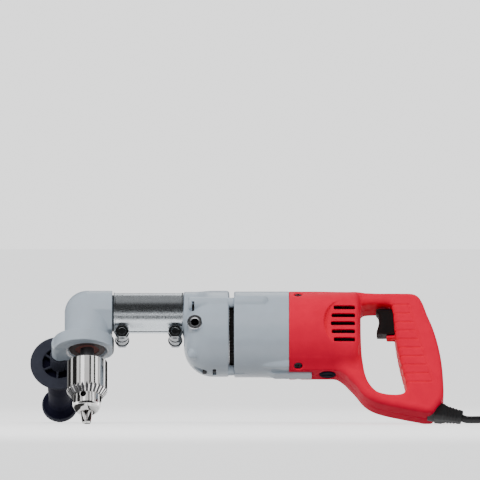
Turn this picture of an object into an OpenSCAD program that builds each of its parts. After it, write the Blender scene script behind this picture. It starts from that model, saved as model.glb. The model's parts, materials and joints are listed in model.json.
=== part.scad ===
// Right angle drill: motor unit, gear case, swivelling angle head and keyed chuck.
// Tool frame: tube axis on X, chuck axis on Z through the origin, millimetres.
// The finished tool is then leaned onto its chuck, side handle and rear handle.

/* [Angle head] */
// Radius of both barrels of the head
head_r = 26; // [24.5:0.5:28]
// Chuck axis to the end of the head
head_reach = 28.8; // [27:0.2:32]
// Depth of the chuck flange below the tube axis
head_drop = 47.5; // [46:0.5:52]
// Wall of the head casting
head_wall = 4; // [3:0.5:4.5]
// Radius of the chuck flange
flange_r = 30.5; // [28:0.5:33]
// Height of the chuck flange
flange_h = 14.4; // [12:0.2:16]
// Radius of the bearing bore in the head
head_bore_r = 20.4; // [20.2:0.1:21]
// Widening of the bore at its mouth
mouth_chamfer = 3; // [2:0.5:4]
// Swell of the corner over the barrels
corner_swell = 0.4; // [0.2:0.1:0.8]

/* [Side handle] */
// Chuck axis to the side handle axis
boss_x = 33; // [31:0.5:36]
// Radius of the side handle boss
boss_r = 8; // [7.5:0.5:9]
// Far end of the boss from the mid plane
boss_reach = 29; // [26:1:32]
// Near end of the boss from the mid plane
boss_back = 7; // [5:1:10]
// Radius of the handle stud
stud_r = 4.75; // [4:0.25:5.5]
// Length of stud inside the boss
stud_grip = 20; // [16:1:24]
// Length of the handle from the boss
side_len = 146; // [135:1:155]
// Radius of the hand guard
guard_r = 32; // [28:0.5:35]
// Distance from the boss to the guard rim
guard_gap = 22.4; // [18:0.2:26]
// Radius of the hub inside the guard
hub_r = 10; // [9:0.5:11]
// Radius of the grip
grip_r = 13; // [12:0.5:14.5]
// Radius of the end flange
end_r = 20.7; // [18:0.1:23]
// Ribs inside the guard
guard_ribs = 8; // [5:1:10]

/* [Clamp sleeve] */
// Outer radius of the sleeve
sleeve_r = 23.4; // [22.6:0.2:24.4]
// Wall of the sleeve
sleeve_wall = 2.4; // [2:0.1:3]
// Length of the sleeve
sleeve_len = 80.5; // [76:0.5:90]
// Gap between the head and the sleeve
sleeve_gap = 1.6; // [1:0.1:2.5]
// Length of neck that the sleeve grips
neck_len = 26; // [22:0.5:30]
// Radius of the clamp lugs
lug_r = 7.3; // [6.8:0.1:8]
// Depth of the clamp bolts below the tube axis
lug_drop = 29; // [28.2:0.2:31]
// Clamp bolts from the sleeve ends
lug_inset = 9.7; // [9:0.1:12]
// Half depth of the lug pair
lug_half = 10.5; // [9:0.5:12]
// Width of the clamp slot
slot_w = 2.6; // [2:0.2:3.6]
// Radius of the clamp bolts
bolt_r = 3.9; // [3.4:0.1:4.2]
// Corner radius of the bolt heads
hex_r = 8.3; // [7.6:0.1:9]
// Thickness of the bolt heads
hex_h = 5.6; // [4.5:0.2:6.4]

/* [Chuck] */
// Outer radius of the chuck sleeve
chuck_r = 23.4; // [22.6:0.2:24.6]
// Depth of the top of the chuck sleeve
chuck_top = 61.4; // [60:0.2:64]
// Height of the straight part of the sleeve
chuck_h = 37.2; // [36.4:0.2:40]
// Height of the toothed cone
cone_h = 6.7; // [6:0.1:8]
// Teeth for the chuck key
key_teeth = 28; // [24:1:32]
// Radius of the chuck nose
nose_r = 16.8; // [16.4:0.2:17.4]
// Height of the straight nose
nose_h = 9.4; // [9:0.2:12]
// Height of the tapered nose
taper_h = 10; // [8:0.5:12]
// Radius of the nose end
nose_end_r = 11.5; // [10.5:0.5:13]
// Length of jaw that stands out of the nose
jaw_out = 12.5; // [10:0.5:15]
// Radius of a jaw
jaw_r = 3.3; // [3:0.1:3.4]
// Length of a jaw
jaw_len = 42; // [40:0.5:43]
// Slope of a jaw to the chuck axis, degrees
jaw_slope = 12; // [11:0.5:12.5]
// Travel of a jaw along its slope
jaw_travel = 28; // [20:0.5:28.5]
// Radius of the key holes
key_r = 3.3; // [2.8:0.1:3.6]
// Radius of the hole for bits
bit_r = 6.6; // [6:0.1:7]

/* [Gears] */
// Module of the first stage
mod_1 = 0.7; // [0.65:0.01:0.72]
// Teeth of the armature pinion
teeth_a = 9; // [9:1:10]
// Teeth of the idler gear
teeth_b = 52; // [48:1:53]
// Module of the second stage
mod_2 = 1; // [0.95:0.01:1.02]
// Teeth of the idler pinion
teeth_c = 10; // [10:1:11]
// Teeth of the output gear
teeth_d = 39; // [36:1:40]
// Module of the bevel pair
mod_3 = 1.8; // [1.7:0.05:1.85]
// Teeth of the bevel pinion
teeth_e = 14; // [13:1:14]
// Teeth of the bevel gear
teeth_f = 21; // [20:1:21]
// Face width of the bevel pair
bevel_face = 7; // [6:0.5:8]
// Face width of the idler gear
face_1 = 7; // [6:0.5:8]
// Face width of the output gear
face_2 = 11; // [9:0.5:12]
// Radius of the drill spindle
spindle_r = 8; // [7.5:0.25:8.5]

/* [Gear case] */
// Depth of the motor axis below the tube axis
motor_drop = 26.6; // [26:0.1:28]
// Outer radius of the gear case
case_r = 48.8; // [48:0.2:50]
// Length of the gear case
case_len = 52.3; // [51:0.1:56]
// Radius of the rounded front
dome_r = 34; // [30:0.5:36]
// Radius of the nose over the tube axis
nose_barrel_r = 24.8; // [24.4:0.2:26]
// Wall of the gear case front
case_wall = 5; // [4.5:0.1:5.6]
// Radius of the gear room
room_r = 41.4; // [41.2:0.1:41.8]
// Handle sockets behind the case front
socket_x = 12.6; // [11:0.2:16]
// Depth of the handle sockets below the tube axis
socket_drop = 31; // [28:0.5:34]
// Reach of the handle sockets from the mid plane
socket_reach = 46; // [44:0.5:49]
// Outer radius of the handle sockets
socket_r = 9; // [8:0.2:10]
// Thread bore radius of the handle sockets
socket_bore_r = 4.2; // [3.6:0.1:4.6]
// Depth of the handle sockets
socket_deep = 10; // [8:0.5:11]
// Screw circle of the gear case
screw_ring = 45; // [44.8:0.1:45.2]
// Radius of the case screws
screw_r = 2.4; // [2:0.1:2.5]

/* [Motor] */
// Width of the air slot before the motor housing
vent_gap = 5.2; // [4:0.2:6.5]
// Outer radius of the motor housing
motor_r = 49.4; // [48.8:0.2:50.6]
// Length of the motor housing
motor_len = 63.3; // [62:0.1:68]
// Wall of the motor housing
motor_wall = 3.5; // [3:0.1:3.8]
// Room between the field core and the housing wall
field_room = 2.9; // [2.3:0.2:3.9]
// Radius of the armature core
core_r = 22; // [20:0.5:23]
// Air gap round the armature
air_gap = 0.8; // [0.5:0.1:1.2]
// Radius of the armature shaft
shaft_r = 4; // [3.6:0.1:4.4]
// Radius of the cooling fan
fan_r = 36.5; // [33:0.5:37.2]
// Blades of the fan
fan_blades = 12; // [9:1:16]
// Radius of the brush caps
cap_r = 9.5; // [8.5:0.5:10.5]
// Half width of the pad under the motor
pad_half = 10.4; // [9:0.2:12]
// Length of the pad behind the motor housing
pad_tail = 26; // [22:0.5:28]

/* [Rear handle] */
// Length of the rear handle
handle_len = 176.8; // [170:0.2:184]
// Height of the rear handle above the tube axis
handle_top = 17.6; // [17:0.2:19]
// Thickness of the rear handle
handle_t = 42; // [38:0.5:46]
// Wall of the rear handle
shell_wall = 2.8; // [2.4:0.1:3]
// Air slots on each side
vents = 5; // [3:1:6]
// Height of an air slot
vent_h = 4.5; // [3.5:0.25:5]
// Width of the trigger
trigger_w = 20; // [17:0.5:22]
// Height of the trigger
trigger_h = 33; // [30:0.5:35]
// Stand-out of the trigger from the grip
trigger_out = 21; // [18:0.5:23]
// Travel of the trigger
trigger_travel = 7; // [5:0.5:8]

/* [Cord] */
// Radius of the cord
cord_r = 4.25; // [4:0.05:4.5]
// Length of the cord boot
boot_len = 30; // [26:0.5:34]
// Radius of the boot at the handle
boot_r = 11.5; // [11:0.25:12]
// Radius of the boot at its end
boot_end_r = 6.6; // [6.2:0.1:7]
// Mean radius of the coil
coil_r = 51; // [50:0.5:52]
// Pitch of the turns over the cord diameter
coil_pitch_ratio = 1.09; // [1.07:0.01:1.12]
// Turns in each layer of the coil
coil_turns = 3.25; // [2.25:1:3.25]
// Thickness of the tie
tie_t = 1.2; // [1:0.1:1.6]
// Width of the tie
tie_w = 12; // [10:0.5:15]
// Radius of the plug body
plug_r = 15; // [14:0.5:17]
// Length of the plug body
plug_len = 34; // [30:0.5:38]

/* [Fits] */
// Running clearance on a radius
run = 0.06; // [0.03:0.01:0.1]
// Free clearance between moving pieces
free = 0.3; // [0.25:0.05:0.4]
// Overcut of a cutting shape
cut = 1; // [0.5:0.1:2]

/* [Hidden] */
$fn = 96;

grey = [0.70, 0.73, 0.76];
red = [0.85, 0.14, 0.24];
black = [0.09, 0.09, 0.13];
steel = [0.72, 0.72, 0.74];
bronze = [0.70, 0.52, 0.30];
copper = [0.72, 0.42, 0.24];

// Stations along the tube axis
sleeve_x = head_reach + sleeve_gap;
sleeve_end = sleeve_x + sleeve_len;
case_x = sleeve_end + free;
case_end = case_x + case_len;
motor_x = case_end + vent_gap;
rear_x = motor_x + motor_len;
neck_r = sleeve_r - sleeve_wall;
neck_wall = neck_r / 6;
input_bearing_r = neck_r - neck_wall;

// Chuck levels, all measured down from the tube axis
cone_top = chuck_top + chuck_h;
cone_end = cone_top + cone_h;
taper_top = cone_end + nose_h;
nose_end = taper_top + taper_h;
tip_deep = nose_end + jaw_out;
tip_r = jaw_r * 1.2;
boss_drop = head_drop - boss_r;
side_end = boss_reach + side_len;

// Lean that sets the jaws and the side handle on one floor
lean = atan((tip_deep - boss_drop - end_r) / (side_end - tip_r));
stand_h = tip_deep * cos(lean) + tip_r * sin(lean);

// Rear handle depth that reaches the same floor
heel_share = 0.74;
handle_drop = (stand_h - handle_t / 2 * heel_share * sin(lean)) / cos(lean);
handle_deep = handle_top + handle_drop;
rear_end = rear_x + handle_len;

// Reference point: middle of the tool on the floor
left_x = -boss_x - guard_r;
mid_x = (left_x + rear_end) / 2;
near_y = -handle_t / 2 * heel_share * cos(lean) - handle_drop * sin(lean);
far_y = side_end * cos(lean) - (boss_drop - end_r) * sin(lean);
mid_y = (near_y + far_y) / 2;

module stand() {
  translate([-mid_x, -mid_y, stand_h])
    rotate([-lean, 0, 0])
      children();
}

module rod_x(x0, x1, r, z = 0, y = 0) {
  translate([x0, y, z])
    rotate([0, 90, 0])
      cylinder(h = x1 - x0, r = r);
}

module cone_x(x0, x1, r0, r1, z = 0, y = 0) {
  translate([x0, y, z])
    rotate([0, 90, 0])
      cylinder(h = x1 - x0, r1 = r0, r2 = r1);
}

module pipe_x(x0, x1, r, bore, z = 0, y = 0) {
  difference() {
    rod_x(x0, x1, r, z, y);
    rod_x(x0 - cut, x1 + cut, bore, z, y);
  }
}

module rod_y(y0, y1, r, x, z) {
  translate([x, y0, z])
    rotate([-90, 0, 0])
      cylinder(h = y1 - y0, r = r);
}

module rod_z(z0, z1, r, x = 0, y = 0) {
  translate([x, y, z0])
    cylinder(h = z1 - z0, r = r);
}

module pipe_z(z0, z1, r, bore) {
  difference() {
    rod_z(z0, z1, r);
    rod_z(z0 - cut, z1 + cut, bore);
  }
}

module block(x0, x1, y0, y1, z0, z1) {
  translate([x0, y0, z0])
    cube([x1 - x0, y1 - y0, z1 - z0]);
}

// Tooth form shared by the spur and bevel gears
pressure = 20;
tip_share = 0.85;
root_share = 1.15;
slack_share = 0.14;
bevel_slack_share = 0.2;
flank_steps = 4;
function involute(a) = tan(a) - a * PI / 180;
function half_tooth(r, rp, teeth, slack) =
  let (base = rp * cos(pressure))
  let (a = acos(min(base / r, 1)))
  (90 / teeth - slack / rp * 90 / PI) + (involute(pressure) - involute(a)) * 180 / PI;
function flank(rp, m) =
  [for (i = [0 : flank_steps]) rp + m * (-root_share + (tip_share + root_share) * i / flank_steps)];
function spur_loop(teeth, m) =
  let (rp = teeth * m / 2, rs = flank(teeth * m / 2, m), n = flank_steps)
  [
    for (t = [0 : teeth - 1], i = [0 : 2 * n + 1])
      let (r = rs[i <= n ? i : 2 * n + 1 - i])
      let (side = i <= n ? -1 : 1)
      let (a = t * 360 / teeth + side * half_tooth(r, rp, teeth, m * slack_share))
      [r * cos(a), r * sin(a)]
  ];

module spur_x(x0, width, teeth, m, phase, z, y) {
  translate([x0, y, z])
    rotate([0, 90, 0])
      rotate([0, 0, phase])
        linear_extrude(width)
          polygon(spur_loop(teeth, m));
}

// Bevel teeth run to the point where the two axes cross
function bevel_ring(teeth, m, pitch, cone, far) =
  let (rv = cone * tan(pitch), rs = flank(cone * tan(pitch), m), n = flank_steps)
  [
    for (t = [0 : teeth - 1], i = [0 : 2 * n + 1])
      let (k = i <= n ? i : 2 * n + 1 - i)
      let (side = i <= n ? -1 : 1)
      let (vt = teeth / cos(pitch))
      let (w = half_tooth(rs[k], rv, vt, m * bevel_slack_share) / cos(pitch))
      let (a = (t + 0.5) * 360 / teeth + side * w)
      let (d = pitch + atan((rs[k] - rv) / cone))
      far * [sin(d) * cos(a), sin(d) * sin(a), cos(d)]
  ];

module bevel(teeth, m, pitch, cone, face) {
  outer = bevel_ring(teeth, m, pitch, cone, cone);
  inner = bevel_ring(teeth, m, pitch, cone, cone - face);
  n = len(outer);
  back = cone * cos(pitch);
  front = (cone - face) * cos(pitch);
  points = concat(outer, inner, [[0, 0, back], [0, 0, front]]);
  sides = [for (i = [0 : n - 1]) [i, n + (i + 1) % n, n + i]];
  sides_b = [for (i = [0 : n - 1]) [i, (i + 1) % n, n + (i + 1) % n]];
  back_fan = [for (i = [0 : n - 1]) [(i + 1) % n, i, 2 * n]];
  front_fan = [for (i = [0 : n - 1]) [n + i, n + (i + 1) % n, 2 * n + 1]];
  polyhedron(points = points, faces = concat(sides, sides_b, back_fan, front_fan));
}

bevel_pitch_e = atan(teeth_e / teeth_f);
bevel_pitch_f = 90 - bevel_pitch_e;
bevel_cone = mod_3 * norm([teeth_e, teeth_f]) / 2;
pinion_back = bevel_cone * cos(bevel_pitch_e);
gear_back = bevel_cone * cos(bevel_pitch_f);

// Angle head: bearing levels below the gear and along the input shaft
gear_disc = head_drop * 0.13;
gear_bottom = gear_back + gear_disc;
journal_r = spindle_r;
bearing_1_top = gear_bottom + cut * 2;
bearing_1_end = bearing_1_top + head_drop * 0.2;
retainer_end = head_drop - mouth_chamfer * 0.5;
retainer_h = head_drop * 0.05;
bearing_2_end = retainer_end - retainer_h;
bearing_2_top = bearing_2_end - head_drop * 0.18;
pinion_end = pinion_back + mod_3 * 2;
input_r = spindle_r * 0.9;
input_bearing_w = neck_len * 0.36;
input_1_x = head_reach - neck_len * 0.1;
input_2_x = head_reach + neck_len - input_bearing_w;
coupler_x = head_reach + neck_len + sleeve_gap * 2;
coupler_end = case_x - neck_len - sleeve_gap;
coupler_r = spindle_r * 1.5;
spindle_tip = coupler_x + (coupler_end - coupler_x) * 0.25;
room_head_r = head_r - head_wall;

module angle_head_casing() {
  color(grey)
    stand()
      difference() {
        union() {
          sphere(r = head_r + corner_swell);
          rod_x(0, head_reach, head_r);
          rod_x(0, head_reach + neck_len, neck_r);
          rod_z(-head_drop, 0, head_r);
          rod_z(-head_drop, -head_drop + flange_h, flange_r);
          rod_y(-boss_back, boss_reach, boss_r, -boss_x, -boss_drop);
          translate([0, 0, -head_drop])
            linear_extrude(flange_h)
              polygon([[0, 0], [-boss_x, -boss_back], [-boss_x, boss_reach], [0, boss_reach]]);
        }
        sphere(r = room_head_r + corner_swell);
        rod_z(-bearing_1_top, 0, room_head_r);
        rod_z(-head_drop - cut, 0, head_bore_r);
        translate([0, 0, -head_drop])
          cylinder(h = mouth_chamfer, r1 = head_bore_r + mouth_chamfer, r2 = head_bore_r);
        rod_x(0, head_reach + neck_len + cut, input_bearing_r);
        rod_y(boss_reach - stud_grip, boss_reach + cut, stud_r, -boss_x, -boss_drop);
      }
}

module lug(x) {
  rod_y(-lug_half, lug_half, lug_r, x, -lug_drop);
  block(x - lug_r, x + lug_r, -lug_half, lug_half, -lug_drop, -neck_r);
}

lug_xs = [sleeve_x + lug_inset, sleeve_end - lug_inset];

module clamp_sleeve() {
  color(steel)
    stand()
      difference() {
        union() {
          rod_x(sleeve_x, sleeve_end, sleeve_r);
          for (x = lug_xs) lug(x);
        }
        rod_x(sleeve_x - cut, sleeve_end + cut, neck_r);
        block(sleeve_x - cut, sleeve_end + cut, -slot_w / 2, slot_w / 2, -lug_drop - lug_r - cut, 0);
        for (x = lug_xs) rod_y(-lug_half - cut, lug_half + cut, bolt_r, x, -lug_drop);
      }
}

module hex_y(y0, y1, x) {
  translate([x, y0, -lug_drop])
    rotate([-90, 0, 0])
      cylinder(h = y1 - y0, r = hex_r, $fn = 6);
}

module clamp_bolts() {
  color(steel)
    stand()
      for (x = lug_xs) {
        hex_y(-lug_half - hex_h, -lug_half, x);
        rod_y(-lug_half - hex_h / 2, lug_half + hex_h * 1.3, bolt_r, x, -lug_drop);
      }
}

module clamp_nuts() {
  color(steel)
    stand()
      for (x = lug_xs)
        difference() {
          hex_y(lug_half, lug_half + hex_h, x);
          rod_y(lug_half - cut, lug_half + hex_h + cut, bolt_r, x, -lug_drop);
        }
}

// Side handle: a turned profile of radius against length from the boss
rim_t = guard_r / 9;
recess = guard_gap * 0.42;
end_round = end_r * 0.16;
grip_shares = [[0.50, 1.00], [0.62, 1.05], [0.74, 1.02], [0.84, 0.98], [0.90, 1.04]];
flare_shares = [[0.97, 0.10], [0.86, 0.22], [0.70, 0.40], [0.52, 0.66]];

module side_handle_grip() {
  rim_in = guard_r * 0.64;
  deep = guard_gap + recess;
  profile = concat(
    [[0, 0], [hub_r, 0], [hub_r, deep], [rim_in, deep], [rim_in, guard_gap]],
    [[guard_r - rim_t / 3, guard_gap], [guard_r, guard_gap + rim_t / 3]],
    [for (s = flare_shares) [guard_r * s[0], guard_gap + guard_r * s[1]]],
    [for (s = grip_shares) [grip_r * s[1], side_len * s[0]]],
    [[end_r - end_round, side_len - end_r * 0.36], [end_r, side_len - end_r * 0.26]],
    [[end_r, side_len], [0, side_len]]
  );
  color(black)
    stand()
      translate([-boss_x, boss_reach, -boss_drop])
        rotate([-90, 0, 0])
          difference() {
            union() {
              rotate_extrude()
                polygon(profile);
              for (i = [0 : guard_ribs - 1])
                rotate([0, 0, i * 360 / guard_ribs])
                  translate([hub_r - cut, -rim_t / 3, guard_gap + rim_t / 3])
                    cube([rim_in - hub_r + cut * 2, rim_t * 2 / 3, recess]);
            }
            translate([0, 0, -cut])
              cylinder(h = side_len * 0.4 + cut, r = stud_r);
          }
}

module side_handle_stud() {
  color(steel)
    stand()
      rod_y(boss_reach - stud_grip, boss_reach + side_len * 0.4, stud_r, -boss_x, -boss_drop);
}

module input_bearings() {
  color(bronze)
    stand() {
      pipe_x(input_1_x, input_1_x + input_bearing_w, input_bearing_r, input_r + run);
      pipe_x(input_2_x, input_2_x + input_bearing_w, input_bearing_r, input_r + run);
    }
}

module spindle_bearings() {
  color(steel)
    stand() {
      pipe_z(-bearing_1_end, -bearing_1_top, head_bore_r, journal_r + run);
      pipe_z(-bearing_2_end, -bearing_2_top, head_bore_r, journal_r + run);
      pipe_z(-bearing_2_top, -bearing_1_end, head_bore_r, head_bore_r * 0.86);
    }
}

seal_r = head_bore_r * 0.68;

module bearing_retainer() {
  color(steel)
    stand()
      pipe_z(-retainer_end, -bearing_2_end, head_bore_r, seal_r);
}

module spindle_seal() {
  color([0.5, 0.2, 0.14])
    stand()
      pipe_z(-retainer_end + retainer_h / 4, -bearing_2_end, seal_r, journal_r + run);
}

module input_shaft() {
  color(steel)
    stand()
      difference() {
        union() {
          rod_x(pinion_back - bevel_face, coupler_x + cut, input_r);
          rod_x(coupler_x, coupler_end, coupler_r);
        }
        rod_x(spindle_tip - free, coupler_end + cut, spindle_r + run);
      }
}

module bevel_pinion() {
  color(steel)
    stand()
      rotate([0, 90, 0])
        difference() {
          union() {
            rotate([0, 0, 180 / teeth_e])
              bevel(teeth_e, mod_3, bevel_pitch_e, bevel_cone, bevel_face);
            translate([0, 0, pinion_back - mod_3])
              cylinder(h = pinion_end - pinion_back + mod_3, r = mod_3 * teeth_e * 0.38);
          }
          translate([0, 0, pinion_back - bevel_face * 2])
            cylinder(h = bevel_face * 4, r = input_r);
        }
}

spindle_deep = chuck_top + chuck_h * 0.6;
hub_bore_r = spindle_r * 0.8;

module chuck_spindle() {
  color(steel)
    stand() {
      rod_z(-gear_bottom - cut, -gear_back + bevel_face * 0.5, hub_bore_r);
      rod_z(-spindle_deep, -gear_bottom, journal_r);
    }
}

module bevel_gear() {
  color(steel)
    stand()
      rotate([180, 0, 0])
        difference() {
          union() {
            bevel(teeth_f, mod_3, bevel_pitch_f, bevel_cone, bevel_face);
            translate([0, 0, gear_back - mod_3 / 4])
              cylinder(h = gear_disc + mod_3 / 4, r = mod_3 * teeth_f * 0.38);
          }
          translate([0, 0, gear_back - bevel_face])
            cylinder(h = gear_disc + bevel_face * 2, r = hub_bore_r);
        }
}

// Chuck: the body turns inside the sleeve, the jaws slide in slanting bores
sleeve_in_r = chuck_r - chuck_r / 10;
body_r = sleeve_in_r - free;
nut_end = cone_top - chuck_h * 0.03;
nut_top = nut_end - chuck_h * 0.16;
jaw_foot = jaw_r * 0.66;
nut_in_r = jaw_foot + (tip_deep - nut_top) * tan(jaw_slope) + jaw_r * 1.16;
neck_body_r = nut_in_r - free;
key_turn = 255;
jaw_turn = key_turn + 60;
jaw_gap = free / 2;

module jaw_bore(i) {
  rotate([0, 0, jaw_turn + i * 120])
    translate([jaw_foot, 0, -tip_deep])
      rotate([0, jaw_slope, 0])
        cylinder(h = jaw_len + jaw_travel + cut, r = jaw_r + free / 2);
}

module chuck_body() {
  color(steel)
    stand()
      difference() {
        union() {
          rod_z(-nut_top + free, -chuck_top - free, body_r);
          rod_z(-nut_end - cut, -nut_top + cut, neck_body_r);
          rod_z(-taper_top, -nut_end - free, nose_r);
          translate([0, 0, -nose_end])
            cylinder(h = taper_h, r1 = nose_end_r, r2 = nose_r);
        }
        rod_z(-spindle_deep, -chuck_top + cut, journal_r);
        rod_z(-nose_end - cut, -spindle_deep - chuck_h * 0.1, bit_r);
        for (i = [0 : 2]) jaw_bore(i);
        for (i = [0 : 2])
          rotate([0, 0, key_turn + i * 120])
            translate([nose_r * 0.6, 0, -cone_end - key_r * 0.7])
              rotate([0, 90, 0])
                cylinder(h = nose_r, r = key_r);
      }
}

cone_end_r = nose_r + free + cut;
tooth_r = PI * chuck_r / key_teeth * 0.55;
cone_lean = atan((chuck_r - cone_end_r) / cone_h);

module chuck_sleeve() {
  edge = chuck_r / 16;
  color(steel)
    stand()
      difference() {
        union() {
          rod_z(-cone_top, -chuck_top - edge, chuck_r);
          translate([0, 0, -chuck_top - edge])
            cylinder(h = edge, r1 = chuck_r, r2 = chuck_r - edge);
          translate([0, 0, -cone_end])
            cylinder(h = cone_h, r1 = cone_end_r, r2 = chuck_r);
        }
        rod_z(-nut_end, -chuck_top + cut, sleeve_in_r);
        rod_z(-cone_end - cut, -nut_end + cut, nose_r + free);
        for (i = [0 : key_teeth - 1])
          rotate([0, 0, i * 360 / key_teeth])
            translate([cone_end_r + tooth_r * 0.4, 0, -cone_end - cut])
              rotate([0, cone_lean, 0])
                cylinder(h = cone_h * 2, r = tooth_r, $fn = 4);
      }
}

module chuck_nut() {
  color(steel)
    stand()
      pipe_z(-nut_end, -nut_top, sleeve_in_r, nut_in_r);
}

module jaw(i) {
  wide = chuck_r;
  color(steel)
    stand()
      rotate([0, 0, jaw_turn + i * 120])
        intersection() {
          translate([jaw_foot, 0, -tip_deep])
            rotate([0, jaw_slope, 0])
              translate([0, 0, -jaw_r])
                cylinder(h = jaw_len + jaw_r, r = jaw_r);
          translate([jaw_gap, 0, -tip_deep])
            linear_extrude(jaw_len * 2)
              polygon([[0, 0], [wide, -wide * tan(60)], [wide, wide * tan(60)]]);
        }
}

module chuck_jaw_1() {
  jaw(0);
}

module chuck_jaw_2() {
  jaw(1);
}

module chuck_jaw_3() {
  jaw(2);
}

// Gear train: the idler sits where both centre distances are met
centre_1 = (teeth_a + teeth_b) * mod_1 / 2;
centre_2 = (teeth_c + teeth_d) * mod_2 / 2;
idler_drop = (motor_drop ^ 2 + centre_2 ^ 2 - centre_1 ^ 2) / (2 * motor_drop);
idler_y = sqrt(centre_2 ^ 2 - idler_drop ^ 2);
idler_z = -idler_drop;
motor_z = -motor_drop;
phase_1 = atan2(idler_y, -(idler_z - motor_z));
phase_2 = atan2(-idler_y, idler_z);

plate_t = case_len * 0.105;
plate_x = case_end - plate_t;
gear_1_x = plate_x - face_1 - free * 3;
gear_2_x = gear_1_x - face_2 - free * 5;
room_x = case_x + case_wall;
output_room_r = teeth_d * mod_2 / 2 + mod_2 * 2;
output_journal_r = spindle_r * 0.55;
idler_r = mod_2 * teeth_c * 0.36;
bush_r = idler_r * 1.6;
idler_bush_w = case_wall * 1.4;
output_bush_r = output_journal_r * 1.6;
front_bearing_r = neck_r * 0.72;
front_bearing_w = neck_len * 0.55;
front_bearing_x = case_x - neck_len + neck_len * 0.15;
armature_bearing_r = shaft_r * 2.7;

screw_turns = [60, 180, 300];
screw_seat = case_x + case_len * 0.5;
screw_end = motor_x + motor_len * 0.18;
screw_head_r = screw_r * 1.8;
pillar_r = screw_r * 2.5;
screw_head_h = screw_r * 2;

module at_screws() {
  for (a = screw_turns)
    translate([0, -screw_ring * sin(a), motor_z + screw_ring * cos(a)])
      children();
}

module dome(r, round_r, x0, x1) {
  steps = 12;
  flat = r - round_r;
  arc = [
    for (i = [0 : steps])
      let (a = 90 * i / steps)
      [flat + round_r * sin(a), round_r * (1 - cos(a))]
  ];
  translate([x0, 0, motor_z])
    rotate([0, 90, 0])
      rotate_extrude()
        polygon(concat([[0, 0]], arc, [[r, x1 - x0], [0, x1 - x0]]));
}

module gear_case() {
  color(grey)
    stand()
      difference() {
        union() {
          difference() {
            union() {
              dome(case_r, dome_r, case_x, case_end);
              rod_x(case_x, case_end, nose_barrel_r);
              rod_x(case_x - neck_len, case_x + cut, neck_r - run);
            }
            dome(room_r, dome_r - case_wall, room_x, case_end + cut);
            rod_x(room_x, case_end + cut, output_room_r);
          }
          for (s = [-1, 1])
            rod_y(
              min(s * socket_reach, s * (socket_reach - socket_deep - case_wall)),
              max(s * socket_reach, s * (socket_reach - socket_deep - case_wall)),
              socket_r, case_x + socket_x, -socket_drop
            );
          rod_x(room_x - cut, room_x + idler_bush_w, bush_r * 1.5, idler_z, idler_y);
          at_screws() rod_x(case_end - cut, motor_x, pillar_r);
        }
        for (s = [-1, 1])
          rod_y(
            min(s * (socket_reach + cut), s * (socket_reach - socket_deep)),
            max(s * (socket_reach + cut), s * (socket_reach - socket_deep)),
            socket_bore_r, case_x + socket_x, -socket_drop
          );
        rod_x(room_x, room_x + idler_bush_w + cut, bush_r, idler_z, idler_y);
        rod_x(case_x - neck_len - cut, front_bearing_x + front_bearing_w, front_bearing_r);
        rod_x(case_x - neck_len - cut, room_x + cut, spindle_r + free * 2);
        at_screws() rod_x(case_x - cut, screw_seat, screw_head_r + free * 2);
        at_screws() rod_x(case_x - cut, motor_x + cut, screw_r);
      }
}

module gear_case_plate() {
  color(grey)
    stand()
      difference() {
        union() {
          rod_x(plate_x, case_end, room_r, motor_z);
          rod_x(plate_x, case_end, output_room_r);
        }
        rod_x(plate_x - cut, case_end + cut, armature_bearing_r, motor_z);
        rod_x(plate_x - cut, case_end + cut, output_bush_r);
        rod_x(plate_x - cut, case_end + cut, bush_r, idler_z, idler_y);
        at_screws() rod_x(case_end - cut * 1.2, case_end + cut, pillar_r + run);
      }
}

module gear_case_screws() {
  color(steel)
    stand()
      at_screws() {
        rod_x(screw_seat - screw_head_h, screw_seat, screw_head_r);
        rod_x(screw_seat - screw_head_h / 2, screw_end, screw_r);
      }
}

module output_bearings() {
  color(bronze)
    stand() {
      pipe_x(front_bearing_x, front_bearing_x + front_bearing_w, front_bearing_r, spindle_r + run);
      pipe_x(plate_x, case_end, output_bush_r, output_journal_r + run);
    }
}

module output_spindle() {
  color(steel)
    stand() {
      rod_x(spindle_tip, gear_2_x + face_2 + free, spindle_r);
      rod_x(gear_2_x + face_2, case_end - free, output_journal_r);
    }
}

module output_gear() {
  color(steel)
    stand()
      difference() {
        spur_x(gear_2_x, face_2, teeth_d, mod_2, phase_2 + 180 + 180 / teeth_d, 0, 0);
        rod_x(gear_2_x - cut, gear_2_x + face_2 + cut, spindle_r);
      }
}

module idler_bushes() {
  color(bronze)
    stand() {
      pipe_x(room_x, room_x + idler_bush_w, bush_r, idler_r + run, idler_z, idler_y);
      pipe_x(plate_x, case_end, bush_r, idler_r + run, idler_z, idler_y);
    }
}

module idler_shaft() {
  color(steel)
    stand()
      union() {
        rod_x(room_x + free, case_end - free, idler_r, idler_z, idler_y);
        spur_x(gear_2_x - free, face_2 + free * 2, teeth_c, mod_2, phase_2, idler_z, idler_y);
      }
}

module idler_gear() {
  color(steel)
    stand()
      difference() {
        spur_x(
          gear_1_x, face_1, teeth_b, mod_1, phase_1 + 180 + 180 / teeth_b, idler_z, idler_y
        );
        rod_x(gear_1_x - cut, gear_1_x + face_1 + cut, idler_r, idler_z, idler_y);
      }
}

// Motor stations
field_r = motor_r - motor_wall - field_room;
coil_w = (field_r - core_r - air_gap) * 0.5;
field_x = motor_x + vent_gap + free * 2 + coil_w;
field_end = motor_x + motor_len * 0.86;
spigot_len = motor_len * 0.22;
spigot_r = motor_r - shell_wall - run * 2;
spigot_in_r = spigot_r - motor_wall;
pad_x = motor_x + motor_len * 0.66;
pad_end = rear_x + pad_tail;
pad_bottom = motor_z - motor_r - motor_wall;
pad_top = motor_z - spigot_in_r - motor_wall / 2;
boss_turns = [-160, 160];
ridge_r = screw_r * 3;
ridge_ring = motor_r - ridge_r * 0.75;
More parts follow.
